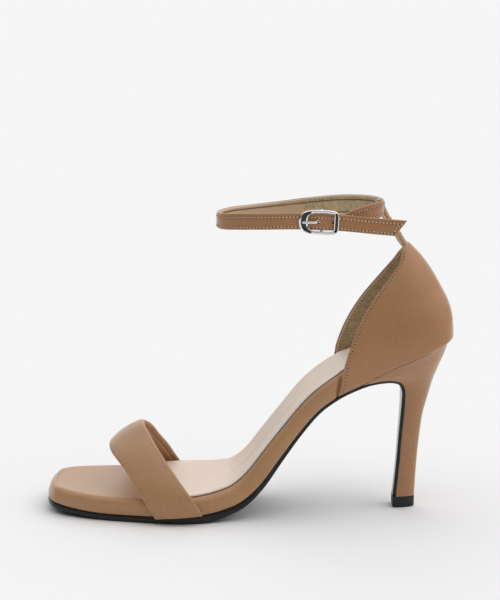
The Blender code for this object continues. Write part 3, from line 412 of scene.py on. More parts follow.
def piece(name, points, faces, finishes, node=None, zones=None, sharp=55):
    """A finished piece in its place, where zones numbers the finish of each face."""
    made = closed_mesh(name, points, faces, finishes, zones)
    made.data.shade_smooth()
    made.data.set_sharp_from_angle(angle=math.radians(sharp))
    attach(made, "root")
    if node:
        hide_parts(node)
    return made


def ring_piece(name, grid, finishes, node, zones=None, sharp=55):
    """A piece whose grid closes into a ring across its rows."""
    return piece(name, grid, grid_faces(*grid.shape[:2], ring=True), finishes, node, zones, sharp)


def wall_piece(name, sides, finishes, node, inside, outside=0):
    """A closed wall on both sides of a middle surface, with the zones of its two faces.

    sides holds the middle surface, its outward normals, and how far each face stands off it.
    """
    middle, normal, out, back = sides
    points = np.concatenate([(middle + normal * out[..., None]).reshape(-1, 3),
                             (middle - normal * back[..., None]).reshape(-1, 3)])
    front = grid_faces(*middle.shape[:2])
    faces = np.concatenate([front, front[:, ::-1] + len(points) // 2])
    zones = np.concatenate([np.broadcast_to(outside, inside.shape), inside])
    return piece(name, points, faces, finishes, node, zones)


def edge_distance(grid, rows=(True, True), columns=(True, True)):
    """How far each point of a grid lies from its nearest open edge, along the grid's own lines."""
    down = np.concatenate([np.zeros((1, grid.shape[1])),
                           np.cumsum(np.linalg.norm(np.diff(grid, axis=0), axis=2), axis=0)])
    over = np.concatenate([np.zeros((grid.shape[0], 1)),
                           np.cumsum(np.linalg.norm(np.diff(grid, axis=1), axis=2), axis=1)], axis=1)
    ways = (down, down[-1:] - down, over, over[:, -1:] - over)
    return np.min([way for is_open, way in zip(rows + columns, ways) if is_open], axis=0)


def grid_normals(grid):
    """Unit normals of a grid of points."""
    return unit(np.cross(np.gradient(grid, axis=1), np.gradient(grid, axis=0)))


def rim(distance, thickness, reach):
    """Half of a wall's thickness, falling to nothing in a round edge."""
    return thickness / 2 * np.sqrt(1 - (1 - np.clip(distance / reach, 0, 1)) ** 2)


def face_mean(values):
    """Mean of a grid's values over the corners of each of its faces."""
    return ((values[:-1, :-1] + values[1:, :-1] + values[:-1, 1:] + values[1:, 1:]) / 4).ravel()


def lined(distance, margin, rim_width=0.0003):
    """Zones of a wall's inner side: 0 turned leather, 2 the lining's cut edge, 1 the lining."""
    far = face_mean(distance) - face_mean(np.broadcast_to(margin, distance.shape))
    return np.where(far < 0, 0, np.where(far < rim_width, 2, 1))


def beads(name, points, ups, finish, holes=False):
    """Stitches evenly spaced along a line: each is a rounded bead whose ends dip into the leather.

    With holes they are small dark beads at the stitches' ends, painted shade standing in for the needle
    holes.
    """
    s = measured(points)
    count = max(1, round(s[-1] / STITCH_PITCH))
    pitch = s[-1] / count
    length, radius, sink = (0.30, NEEDLE_RADIUS, 0.50) if holes else (0.78, THREAD_RADIUS, 0.30)
    at = (np.arange(count + holes) + 0.5 * (not holes)) * pitch
    count = len(at)
    centre = np.column_stack([np.interp(at, s, axis) for axis in points.T])
    ahead = np.column_stack([np.interp(at + pitch / 4, s, axis) for axis in points.T])
    behind = np.column_stack([np.interp(at - pitch / 4, s, axis) for axis in points.T])
    way = unit(ahead - behind)
    up = unit(np.column_stack([np.interp(at, s, axis) for axis in np.broadcast_to(ups, points.shape).T]))
    side = unit(np.cross(way, up))
    rings, sides = 7, 6
    t = np.linspace(-1, 1, rings)
    turn = np.arange(sides) * math.tau / sides
    around = radius * np.sqrt(1 - t ** 2)[:, None]
    x = t[:, None] * np.ones(sides) * pitch * length / 2
    y = around * np.cos(turn)
    z = around * np.sin(turn) + radius * (0.75 - sink - 1.3 * t[:, None] ** 4)
    body = (centre[:, None, None] + x[None, ..., None] * way[:, None, None]
            + y[None, ..., None] * side[:, None, None] + z[None, ..., None] * up[:, None, None])
    faces = grid_faces(rings, sides, ring=True)
    every = (faces[None] + np.arange(count)[:, None, None] * rings * sides).reshape(-1, 4)
    piece(name, body, every, [finish])


# Finishes

class Signal:
    """A number that varies over a surface. Arithmetic on it adds Math nodes."""

    def __init__(self, finish, socket):
        self.finish, self.socket = finish, socket

    def math(self, operation, *values):
        return self.finish.node("ShaderNodeMath", {"operation": operation}, dict(enumerate(values)))

    def __add__(self, other):
        return self.math("ADD", self, other)

    __radd__ = __add__

    def __sub__(self, other):
        return self.math("SUBTRACT", self, other)

    def __rsub__(self, other):
        return self.math("SUBTRACT", other, self)

    def __mul__(self, other):
        return self.math("MULTIPLY", self, other)

    __rmul__ = __mul__

    def above(self, low, high):
        """A soft step from 0 at low to 1 at high."""
        return self.finish.node("ShaderNodeMapRange", {"interpolation_type": "SMOOTHSTEP"},
                                {0: self, 1: low, 2: high, 3: 0.0, 4: 1.0})


class Finish:
    """One material. Its maths is written with signals, and every other node comes from node()."""

    def __init__(self, name, roughness, **constants):
        self.material = bpy.data.materials.new(name)
        self.material.use_nodes = True
        self.tree = self.material.node_tree
        self.shader = self.tree.nodes["Principled BSDF"]
        self.shader.inputs["Roughness"].default_value = roughness
        for key, value in constants.items():
            self.shader.inputs[key.replace("_", " ")].default_value = value
        self.place = self.node("ShaderNodeTexCoord", {}, {}, "Object")

    def node(self, kind, settings, inputs, output=0):
        made = self.tree.nodes.new(kind)
        for key, value in settings.items():
            setattr(made, key, value)
        for key, value in inputs.items():
            self.feed(made.inputs[key], value)
        return Signal(self, made.outputs[output])

    def feed(self, socket, value):
        if isinstance(value, Signal):
            self.tree.links.new(value.socket, socket)
        else:
            socket.default_value = value

    def noise(self, scale, detail=2.0, rough=0.5, place=None):
        """Cloudy noise from 0 to 1 with so many lumps a metre."""
        return self.node("ShaderNodeTexNoise", {}, {"Vector": place or self.place, "Scale": scale,
                                                    "Detail": detail, "Roughness": rough})

    def cells(self, scale):
        """Distance from the middle of the nearest of many small cells."""
        return self.node("ShaderNodeTexVoronoi", {"feature": "SMOOTH_F1"},
                         {"Vector": self.place, "Scale": scale, "Smoothness": 0.6})

    def mix(self, share, one, two):
        """A colour between two others."""
        return self.node("ShaderNodeMix", {"data_type": "RGBA"}, {0: share, 6: one, 7: two}, 2)

    def set(self, name, value):
        self.feed(self.shader.inputs[name], value)

    def bump(self, height, strength, distance):
        made = self.node("ShaderNodeBump", {}, {"Height": height, "Strength": strength, "Distance": distance})
        self.set("Normal", made)


def shade(colour, factor):
    """A colour made lighter or darker."""
    return tuple(min(1.0, part * factor) for part in colour) + (1.0,)


def smooth_leather(name, colour, roughness=0.42, grain=1.0):
    """Close-grained leather: clouded colour, tiny pores and pebbles, and a soft sheen."""
    spread = 0.08
    made = Finish(name, roughness, Specular_IOR_Level=0.45, Coat_Roughness=0.32, Sheen_Weight=0.60,
                  Sheen_Roughness=0.36, Sheen_Tint=(1.0, 0.94, 0.80, 1.0))
    cloud = made.noise(26.0, 3.0)
    fleck = made.noise(700.0, 2.0)
    pebble = made.cells(1500.0)
    fine = made.noise(3600.0, 2.0)
    tone = (cloud * 0.5 + fleck * 0.5).above(0.3, 0.7)
    made.set("Base Color", made.mix(tone, shade(colour, 1 - spread), shade(colour, 1 + spread)))
    made.set("Roughness", roughness + (fleck - 0.5) * 0.10 + (cloud - 0.5) * 0.08)
    made.set("Coat Weight", 0.10 + (cloud - 0.5) * 0.06)
    made.bump(pebble * 0.6 + fine * 0.25 + fleck * 0.3, 0.24 * grain, 0.00028)
    return made.material


def suede(name, colour):
    """Short nap: brushed patches of lighter and darker fibre."""
    made = Finish(name, 0.95, Specular_IOR_Level=0.15, Sheen_Weight=0.35, Sheen_Roughness=0.5)
    brushed = made.noise(210.0, 4.0, 0.65)
    nap = made.noise(2400.0, 3.0, 0.7)
    tuft = made.noise(900.0, 2.0, 0.6)
    tone = brushed * 0.35 + tuft * 0.45 + nap * 0.2
    made.set("Base Color", made.mix(tone.above(0.32, 0.68), shade(colour, 0.66), shade(colour, 1.34)))
    made.bump(nap * 0.7 + brushed * 0.5, 0.5, 0.0003)
    return made.material


def pale_leather(name, colour):
    """Smooth sock leather with faint clouds, hair-fine creases and a low sheen."""
    made = Finish(name, 0.5, Specular_IOR_Level=0.4)
    cloud = made.noise(30.0, 3.0)
    warp = made.node("ShaderNodeMapping", {}, {"Vector": made.place, "Scale": (1.0, 2.6, 1.0)})
    wrinkle = made.noise(230.0, 3.0, 0.6, warp)
    pore = made.cells(1900.0)
    made.set("Base Color", made.mix(cloud.above(0.3, 0.7), shade(colour, 0.96), shade(colour, 1.03)))
    made.set("Roughness", 0.48 + (cloud - 0.5) * 0.12)
    made.bump(wrinkle * 0.8 + pore * 0.35, 0.16, 0.0003)
    return made.material


def polished_sole(name, roughness):
    """Black sole compound, smooth, with a faint mottling and fine rub marks."""
    made = Finish(name, roughness, Specular_IOR_Level=0.35)
    cloud = made.noise(60.0, 4.0)
    scratch = made.node("ShaderNodeMapping", {}, {"Vector": made.place, "Scale": (40.0, 900.0, 40.0)})
    mark = made.noise(1.0, 2.0, 0.5, scratch)
    made.set("Base Color", made.mix(cloud, (0.006, 0.006, 0.007, 1), (0.017, 0.016, 0.017, 1)))
    made.set("Roughness", roughness + (mark - 0.5) * 0.14)
    made.bump(cloud * 0.5 + mark * 0.3, 0.08, 0.0003)
    return made.material


def metal(name, low, high):
    """Plated metal between two brightnesses, with faint wear in its gloss."""
    made = Finish(name, 0.08, Metallic=1.0)
    wear = made.noise(900.0, 3.0)
    made.set("Base Color", made.mix(wear, shade((1.0, 1.0, 1.02), low), shade((1.0, 1.0, 1.01), high)))
    made.set("Roughness", 0.05 + wear * 0.09)
    return made.material


def thread(name, colour):
    """Twisted thread: slanting ply lines across each stitch."""
    made = Finish(name, 0.75, Specular_IOR_Level=0.25)
    ply = made.noise(5200.0, 2.0)
    made.set("Base Color", made.mix(ply, shade(colour, 0.75), shade(colour, 1.2)))
    made.bump(ply, 0.5, 0.0001)
    return made.material


def plain(name, colour, roughness):
    """A quiet finish whose tone and gloss vary a little."""
    made = Finish(name, roughness)
    cloud = made.noise(400.0, 3.0)
    made.set("Base Color", made.mix(cloud, shade(colour, 0.88), shade(colour, 1.12)))
    made.set("Roughness", roughness + (cloud - 0.5) * 0.12)
    made.bump(cloud, 0.15, 0.0002)
    return made.material


BAND_LEATHER = smooth_leather("band leather", (0.424, 0.226, 0.106), 0.44, 1.2)
UPPER_LEATHER = smooth_leather("upper leather", (0.412, 0.200, 0.088))
STRAP_LEATHER = smooth_leather("strap leather", (0.378, 0.172, 0.066))
WRAP_LEATHER = smooth_leather("footbed wrap", (0.450, 0.236, 0.110))
HEEL_LEATHER = smooth_leather("heel wrap", (0.392, 0.192, 0.084))
SUEDE = suede("olive suede lining", (0.490, 0.380, 0.220))
BAND_LINING = smooth_leather("band lining", (0.490, 0.255, 0.130), 0.6, 1.6)
BEIGE_LINING = smooth_leather("smooth beige lining", (0.560, 0.380, 0.230), 0.55)
SOCK_LEATHER = pale_leather("pale sock leather", (0.800, 0.655, 0.550))
CUT_EDGE = plain("cut lining edge", (0.740, 0.610, 0.440), 0.8)
SOCK_EDGE = plain("sock cut edge", (0.800, 0.740, 0.680), 0.8)
SOLE_FACE = polished_sole("sole face", 0.16)
SOLE_EDGE = polished_sole("sole edge", 0.34)
TIP_RUBBER = plain("heel tip rubber", (0.008, 0.008, 0.009), 0.55)
BRIGHT = metal("bright buckle metal", 0.72, 0.88)
# Near-black metal for the buckle's channel: a painted dark reflection.
PAINTED_DARK_REFLECTION = metal("buckle channel painted dark reflection", 0.025, 0.07)
LIGHT_THREAD = thread("light thread", (0.760, 0.640, 0.480))
TAN_THREAD = thread("tan thread", (0.520, 0.380, 0.250))
DARK_THREAD = thread("olive thread", (0.170, 0.130, 0.080))
# Near-black beads at the stitch ends: painted shade standing in for needle holes.
NEEDLE_HOLE_SHADE = plain("needle hole", (0.030, 0.014, 0.007), 0.9)
# Dark brown for the walls of punched holes and slots; also used as painted shade along the seam between
# quarter and heel.
HOLE_WALL_AND_SEAM_SHADE = plain("punched hole and seam shade", (0.070, 0.035, 0.018), 0.8)


# Sole

def bed_levels(s):
    """Levels up the footbed's side: height above the profile at each station, and inset."""
    height = at_s("bed", s)
    side = [(0.00, 1.0), (0.03, 0.55), (0.07, 0.25), (0.14, 0.06), (0.24, 0.0), (0.38, -0.10), (0.52, -0.10)]
    levels = [(share * height, tuck * FOOTBED_TUCK) for share, tuck in side]
    turn = np.linspace(0, math.pi / 2, 11)
    rises, insets = FOOTBED_EDGE_RADIUS * (1 - np.sin(turn)), FOOTBED_EDGE_RADIUS * (1 - np.cos(turn))
    return levels + [(height - rise, inset) for rise, inset in zip(rises, insets)]


def footbed_wrap():
    """Padded footbed. Each section runs up the outer side, round the edge, across the dished top, down
    the inner side and back underneath, and the sections follow the last from toe tip to heel end."""
    near_seam = at_x("s", QUARTER_FRONT_X) + np.linspace(-0.006, 0.003, 37)
    s = np.unique(np.concatenate([stations(TOE_X, HEEL_SETBACK, 230), near_seam]))
    x = at_s("x", s)
    outer, inner = [], []
    for n, inset in bed_levels(s):
        one, two = both_sides(LINE, s, inset, under_quarter)
        dip = [WRAP_SEAM * bell(x - (QUARTER_FRONT_X - 0.0012 - lead), 0.00028) for lead in (0, QUARTER_LEAD)]
        outer.append(place(LINE, one[:, 0], one[:, 1] + dip[0], n))
        inner.append(place(LINE, two[:, 0], two[:, 1] - dip[1], n))
    share = np.linspace(0, 1, 26)[1:-1, None, None]
    lean = at_s("lean", s)
    down = np.stack([np.sin(lean), 0 * lean, -np.cos(lean)], axis=-1)
    pad = 0.35 * bell(x - (TOE_X + 0.030), 0.028)[:, None]
    top = outer[-1] + (inner[-1] - outer[-1]) * share
    top += down * DISH * 4 * share * (1 - share) * (1 - 2.2 * pad)
    low = inner[0] + (outer[0] - inner[0]) * share
    ring = np.concatenate([np.array(outer), top, np.array(inner)[::-1], low])
    ring_piece("footbed_wrap", ring.transpose(1, 0, 2), [WRAP_LEATHER], "footbed")


def sock_sheet():
    """Pale insole sheet: a flat sheet on the footbed's own curve, its edges cut, with a soft ridge along
    its middle and small creases where it bends at the seat."""
    start = at_x("s", TOE_X + SOCK_START)
    body = stations(TOE_X + SOCK_START + 0.006, HEEL_SETBACK, 170)
    s = np.concatenate([start + np.array([0, 0.05, 0.2, 0.5, 1.2, 2.4, 4.0]) / 1000, body])
    margin = SOCK_MARGIN + FOOTBED_EDGE_RADIUS / 2
    outer, inner = both_sides(LINE, s, margin, under_quarter)
    edge = np.array([0, 0.04, 0.14, 0.3, 0.6, 1.0, 1.6]) / 1000
    width = np.abs(inner[:, 1] - outer[:, 1])[:, None]
    even = np.linspace(0, 1, 40)[None, 1:-1]
    reach = edge * np.minimum(1, width / (4 * edge[-1]))
    share = np.concatenate([reach, reach[:, -1:] + even * (width - 2 * reach[:, -1:]),
                            width - reach[:, ::-1]], axis=1) / np.maximum(width, 1e-9)
    flat = outer[:, None] + (inner - outer)[:, None] * share[..., None]
    n = np.interp(flat[..., 0], s, at_s("bed", s)) + GAP + SOCK_THICKNESS / 2
    n -= DISH * 4 * share * (1 - share)
    x = at_s("x", flat[..., 0])
    y = flat[..., 1]
    far = np.minimum(share, 1 - share) * width
    n += 0.00045 * bell(y + 0.0005, 0.0022) * smooth((x + 0.108) / 0.03) * smooth((-0.030 - x) / 0.03)
    for x0, y0, slant in ((-0.0435, -0.006, 0.5), (-0.0405, -0.002, 0.8), (-0.0375, 0.004, -0.5),
                          (-0.0465, 0.003, 0.3)):
        across = (x - x0) - slant * (y - y0)
        n += 0.00022 * bell(across, 0.0007) * bell(y - y0, 0.0060)
    middle = place(LINE, flat[..., 0], y, n)
    lean = at_s("lean", flat[..., 0])
    normal = np.stack([-np.sin(lean), 0 * lean, np.cos(lean)], axis=-1)
    distance = np.minimum(far, flat[..., 0] - flat[:1, :, 0])
    half = rim(distance, SOCK_THICKNESS, 0.0005)
    zones = np.where(face_mean(distance) < 0.00035, 1, 0)
    wall_piece("sock_sheet", (middle, -normal, half, half), [SOCK_LEATHER, SOCK_EDGE], "sock",
               zones, zones)


def heel_rows(at):
    """Front and back points and half widths of the heel's sections at rows from the seat to the tip."""
    tip_z = TOP_PIECE_HEIGHT + GAP
    tip = TOP_PIECE_LENGTH / 2
    seat_z = at_x("z", SEAT_FRONT_X) - GAP
    end_z = at_x("z", HEEL_SETBACK) - GAP
    proud = QUARTER_PROUD - HEEL_SHY
    half = at_x("outer", SEAT_FRONT_X) + proud
    whole = np.column_stack([
        -tip - HEEL["front"] * (-SEAT_FRONT_X - tip), tip_z + HEEL["front_rise"] * (seat_z - tip_z),
        tip + HEEL["back"] * (HEEL_SETBACK + proud - tip), tip_z + HEEL["back_rise"] * (end_z - tip_z),
        TOP_PIECE_WIDTH / 2 + HEEL["flare"] * (half - TOP_PIECE_WIDTH / 2), HEEL["round"]])
    return spline(np.arange(len(whole)), whole, at).T


def outsole_line():
    """The sole's profile: under the last to the heel, then down the front of the heel."""
    front_x, front_z, _, _, width, _ = heel_rows(np.arange(len(HEEL["front"])))
    heel_s = measured(np.column_stack([front_x, front_z]))
    down = np.linspace(0, heel_s[-1], 90)
    down = down[down > TURN_AFTER]
    under = LINE["x"] < SEAT_FRONT_X - TURN_BEFORE
    lip = {"x": spline(heel_s, front_x, down), "z": spline(heel_s, front_z, down),
           "outer": spline(heel_s, width, down) - GAP}
    lip["inner"] = lip["outer"]
    lip["sole"] = np.full(len(down), FLAP_THICKNESS)
    knots = {name: np.concatenate([LINE[name][under][::2], lip[name]]) for name in lip}
    s = measured(np.column_stack([knots["x"], knots["z"]]))
    toe = s < BAND_START
    fine = np.unique(np.concatenate([s[toe], np.linspace(0, s[-1], FINE)]))
    line = {name: spline(s, column, fine) for name, column in knots.items()}
    line["s"] = measured(np.column_stack([line["x"], line["z"]]))
    line["lean"] = np.unwrap(np.arctan2(np.gradient(line["z"], line["s"]), np.gradient(line["x"], line["s"])))
    return line


def outsole_sheet():
    """Black sole: its sections follow the profile from the toe, flat where they stand on the ground,
    and go down the heel's front as the flap. The face is polished and the edges are matt."""
    line = outsole_line()
    waist = stations(TOE_X, SEAT_FRONT_X - TURN_BEFORE - TURN_AFTER, 170)
    s = np.concatenate([waist, np.linspace(waist[-1], line["s"][-1], 140)[1:]])
    thick = np.interp(s, line["s"], line["sole"])
    levels = [(0.0, 0.12), (0.03, 0.0), (0.5, 0.0), (0.75, 0.0), (0.84, 0.07), (0.92, 0.28), (0.97, 0.6),
              (1.0, 1.0)]
    outer, inner = [], []
    for share, tuck in levels:
        one, two = both_sides(line, s, OUTSOLE_INSET + tuck * OUTSOLE_EDGE)
        for side, edge in ((one, outer), (two, inner)):
            loop = place(line, side[:, 0], side[:, 1], -GAP - share * thick)
            loop[:, 2] = np.maximum(loop[:, 2], 0.0)
            edge.append(loop)
    share = np.linspace(0, 1, 14)[1:-1, None, None]
    face = outer[-1] + (inner[-1] - outer[-1]) * share
    top = inner[0] + (outer[0] - inner[0]) * share
    ring = np.concatenate([np.array(outer), face, np.array(inner)[::-1], top])
    grid = ring.transpose(1, 0, 2)
    end = np.broadcast_to(grid[-1].mean(axis=0), grid[-1].shape)
    grid = np.concatenate([grid, end[None]])
    zones = np.ones((grid.shape[0] - 1, grid.shape[1]), int)
    zones[:, len(levels) - 1:len(levels) + 12] = 0
    ring_piece("outsole_sheet", grid, [SOLE_FACE, SOLE_EDGE], "outsole", zones, sharp=40)


def rounded_side(front, back, half, power, arc, distances):
    """One side of a section from its front round to the middle of its back: X and half width.

    It is a quarter of a superellipse, or, by the share arc, a shallow arc of a circle, read at
    distances given as a function of its length.
    """
    turn = np.linspace(0, math.pi / 2, 400)
    x = front + (back - front) * np.sin(turn) ** (2 / power)
    y = half * np.cos(turn).clip(0) ** (2 / power)
    y[-1] = 0
    full = np.column_stack([x, y])
    shallow = SHALLOW_ARC * (1 - turn / turn[-1])
    sag = (np.cos(shallow) - math.cos(SHALLOW_ARC)) / (1 - math.cos(SHALLOW_ARC))
    bow = np.column_stack([front + (back - front) * sag, half * np.sin(shallow) / math.sin(SHALLOW_ARC)])
    shares = distances((1 - arc) * measured(full)[-1] + arc * measured(bow)[-1])
    one, two = (along_line(line, shares * measured(line)[-1]) for line in (full, bow))
    return one + (two - one) * arc


def seat_sides(x_starts, proud, distances):
    """Both sides of the seat's own outline from their places along X to the heel end, moved out."""
    s = stations(min(x_starts) - 0.004, HEEL_SETBACK, 300)
    sides = []
    for x_start, flat in zip(x_starts, both_sides(LINE, s, -proud)):
        beyond = np.clip(flat[:, 0] - s[-1], 0, None)
        side = np.column_stack([at_s("x", flat[:, 0]) + beyond, np.abs(flat[:, 1]),
                                at_s("z", flat[:, 0])])
        start = [np.interp(x_start, side[:, 0], column) for column in side.T]
        side = np.concatenate([[start], side[side[:, 0] > x_start]])
        side[-1, 1] = 0
        length = measured(side)[-1]
        sides.append(along_line(side, distances(length) * length))
    return sides


def heel_wrap():
    """Leather-covered heel: D-shaped sections with a flat front, flared to the seat's own outline."""
    rows = np.concatenate([np.linspace(0, 1, 22)[:-1], np.linspace(1, len(HEEL["front"]) - 1, 110)])
    front_x, front_z, back_x, back_z, width, power = heel_rows(rows)

    def even(_):
        return np.linspace(0, 1, 44)

    seat = seat_sides((SEAT_FRONT_X, SEAT_FRONT_X), QUARTER_PROUD - HEEL_SHY, even)
    loops = []
    for i in range(len(rows)):
        plain_side = rounded_side(front_x[i], back_x[i], width[i], power[i], 0.0, even)
        share = (plain_side[:, 0] - front_x[i]) / (back_x[i] - front_x[i])
        plain_side = np.column_stack([plain_side, front_z[i] + (back_z[i] - front_z[i]) * share])
        weight = np.clip(1 - rows[i], 0, 1)
        outer, inner = (plain_side + (side - (0, 0, GAP) - plain_side) * weight for side in seat)
        flat = np.linspace(0, 1, 8)[1:-1, None]
        inner_first = inner[0]
        across = inner_first + (outer[0] * (1, -1, 1) - inner_first) * flat
        loops.append(np.concatenate([outer * (1, -1, 1), inner[-2::-1], across]))
    grid = np.array(loops)
    ends = [np.broadcast_to(row.mean(axis=0), row.shape)[None] for row in (grid[0], grid[-1])]
    grid = np.concatenate([ends[0], grid, ends[1]])
    zones = np.zeros((grid.shape[0] - 1, grid.shape[1]), int)
    # The top cap and first two rows take the dark finish: painted shade where the heel meets the quarter's
    # edge.
    zones[:3] = 1
    ring_piece("heel_wrap", grid, [HEEL_LEATHER, HOLE_WALL_AND_SEAM_SHADE], "heel", zones, sharp=50)


def heel_tip():
    """Hard tip in the heel's own D shape, its lower edge worn round."""
    half_length, half_width = TOP_PIECE_LENGTH / 2, TOP_PIECE_WIDTH / 2
    turn = np.linspace(0, math.pi / 2, 30)
    a = np.sin(turn) ** (2 / HEEL["round"][-1])
    side = np.cos(turn).clip(0) ** (2 / HEEL["round"][-1])
    front = -half_length - FLAP_THICKNESS - GAP
    middle = (half_length + front) / 2
    levels = [(0.0, half_width), (0.0, 0.0004), (0.00012, 0.00015), (0.0004, 0.0), (0.0030, 0.0),
              (TOP_PIECE_HEIGHT - 0.0001, 0.0), (TOP_PIECE_HEIGHT, 0.0001), (TOP_PIECE_HEIGHT, half_width)]
    loops = []
    for z, inset in levels:
        first, last = min(front + inset, middle), max(half_length - inset, middle)
        x = first + (last - first) * a
        y = (half_width - inset) * side
        loop = np.concatenate([np.column_stack([x, -y]), np.column_stack([x, y])[-2::-1]])
        loops.append(np.column_stack([loop, np.full(len(loop), z)]))
    ring_piece("heel_tip", np.array(loops), [TIP_RUBBER], "top_piece", sharp=40)


# Toe band

def band_edges(shares):
    """Front and rear edges of the toe band at shares of its length from its outer foot to its inner."""
    start = TOE_X + BAND_START
    front_x = start + BAND["front"] * BAND_RUN
    rear_x = start + BAND["rear"] * BAND_RUN
    edges = []
    for x, rise in ((front_x, BAND["front_rise"]), (rear_x, BAND["rear_rise"])):
        half = np.where(BAND["side"] < 0, at_x("outer", x), at_x("inner", x))
        y = BAND["side"] * (half + GAP + BAND_EDGE + BAND_PAD / 2)
        low = at_x("z", x)
        edges.append(np.column_stack([x, y, low + rise * (BAND_HEIGHT - low)]))
    s = measured((edges[0] + edges[1]) / 2)
    return spline(s, edges[0], shares * s[-1]), spline(s, edges[1], shares * s[-1])


def toe_band():
    """Padded band: a wall on a ruled surface between two edge curves. Its outer side swells by a
    parabola across it, its edges are round folds, and soft pulls run in from the feet."""
    foot = np.array([0, 0.001, 0.0035, 0.008, 0.014])
    shares = np.concatenate([foot, np.linspace(0.02, 0.98, 150), 1 - foot[::-1]])
    front, rear = band_edges(shares)
    width = np.linalg.norm(rear - front, axis=1)
    fold = np.array([0, 0.04, 0.15, 0.35, 0.65, 1.0, 1.4, 1.8, 2.1, 2.4, 2.8, 3.2, 3.6, 4.0]) / 1000
    across = np.array([edged(w, 30, fold, fold) / w for w in width])
    middle = front[:, None] + (rear - front)[:, None] * across[..., None]
    normal = grid_normals(middle)
    outward = middle - np.array([0, 0, 0.012]) - np.array([1, 0, 0]) * middle[..., :1]
    normal *= np.sign((normal * outward).sum(axis=2))[..., None]
    distance = edge_distance(middle, rows=(False, False))
    lens = np.sqrt(np.clip(1 - (1 - np.clip(distance / 0.0016, 0, 1)) ** 2.4, 0, 1))
    swell = 1 - np.abs(2 * across - 1) ** 2.2
    out = BAND_EDGE / 2 * lens + BAND_PAD * swell
    out -= 0.00006 * bell(distance - 0.0026, 0.0007)
    along = shares[:, None] * np.ones_like(across)
    for centre, slant, deep in ((0.035, 0.05, 0.00030), (0.075, -0.03, 0.00016), (0.955, 0.03, 0.00028)):
        out -= deep * bell(along - centre - slant * (across - 0.5), 0.010) * swell
    back = BAND_EDGE / 2 * lens - 0.00022 * bell(distance - 0.0032, 0.0004)
    close = np.clip(np.minimum(along, 1 - along) / 0.008, 0, 1)
    close = np.sqrt(1 - (1 - close) ** 2)
    middle = middle - normal * BAND_EDGE / 2
    wall_piece("toe_band_pad", (middle, normal, out * close, back * close), [BAND_LEATHER, BAND_LINING],
               "toe_band", np.where(face_mean(distance) < 0.0032, 0, 1))
    for name, column in (("front", len(fold) - 2), ("rear", -len(fold) + 1)):
        line = (middle - normal * back[..., None])[6:-6, column]
        beads(f"band_lining_stitches_{name}", line, -normal[6:-6, column], LIGHT_THREAD)


# Quarter and tab

def quarter_rows(read_at):
    """The quarter's sections from the seat line to the top, at distances up it."""
    front_z = at_x("z", QUARTER_FRONT_X)
    back_z = at_x("z", HEEL_SETBACK)
    rows = {"front": HEEL_SETBACK - QUARTER["front"] * QUARTER_LENGTH,
            "back": HEEL_SETBACK - QUARTER["back"] * QUARTER_LENGTH,
            "front_z": front_z + QUARTER["front_rise"] * QUARTER_HEIGHT,
            "back_z": back_z + QUARTER["back_rise"] * QUARTER_HEIGHT,
            "half": QUARTER["half"] * SEAT_WIDTH / 2, "round": QUARTER["round"],
            "lag": QUARTER["lag"] * QUARTER_LENGTH, "dip": QUARTER["dip"] * QUARTER_HEIGHT,
            "arc": QUARTER["arc"]}
    seat = {"front": QUARTER_FRONT_X, "back": HEEL_SETBACK + QUARTER_PROUD, "front_z": front_z,
            "back_z": back_z, "half": at_x("outer", QUARTER_FRONT_X) + QUARTER_PROUD,
            "round": QUARTER["round"][0], "lag": 0.0, "dip": 0.0, "arc": 0.0}
    whole = {name: np.concatenate([[seat[name]], rows[name]]) for name in rows}
    knots = measured(np.column_stack([whole["back"], whole["back_z"], whole["front"], whole["front_z"]]))
    at = read_at(knots[-1])
    read = {name: spline(knots, column, at) for name, column in whole.items()}
    read["seat"] = np.clip(1 - at / knots[1], 0, 1)
    read["seat_rise"] = np.clip(1 - at / (SEAT_BLEND * knots[1]), 0, 1)
    return read


def quarter_grid():
    """The quarter's outer face: rows from the seat line up, columns from the outer front edge round."""
    rows = quarter_rows(lambda total: edged(total, 60))

    def in_from_front(length):
        return np.concatenate([EDGE_STEPS, np.linspace(EDGE_STEPS[-1], length, 45)[1:]]) / length

    seat = seat_sides((QUARTER_FRONT_X, QUARTER_FRONT_X - QUARTER_LEAD), QUARTER_PROUD, in_from_front)
    grid = []
    for i in range(len(rows["front"])):
        front, back = rows["front"][i], rows["back"][i]
        side = rounded_side(front, back, rows["half"][i], rows["round"][i], rows["arc"][i], in_from_front)
        share = (side[:, 0] - front) / (back - front)
        z = rows["front_z"][i] + (rows["back_z"][i] - rows["front_z"][i]) * share
        outer = np.column_stack([side, z])
        inner = outer + np.outer(1 - share, (rows["lag"][i], 0, -rows["dip"][i]))
        share = (rows["seat"][i], rows["seat"][i], rows["seat_rise"][i])
        outer, inner = (own + (low - own) * share for own, low in zip((outer, inner), seat))
        grid.append(np.concatenate([outer * (1, -1, 1), inner[-2::-1]]))
    return np.array(grid)


def stitch_pair(name, line, ups, thread_finish=LIGHT_THREAD):
    """A row of stitches and the dark beads between them, painted shade in place of needle holes."""
    beads(f"{name}_stitches", line, ups, thread_finish)
    beads(f"{name}_needle_hole_shade", line, ups, NEEDLE_HOLE_SHADE, holes=True)


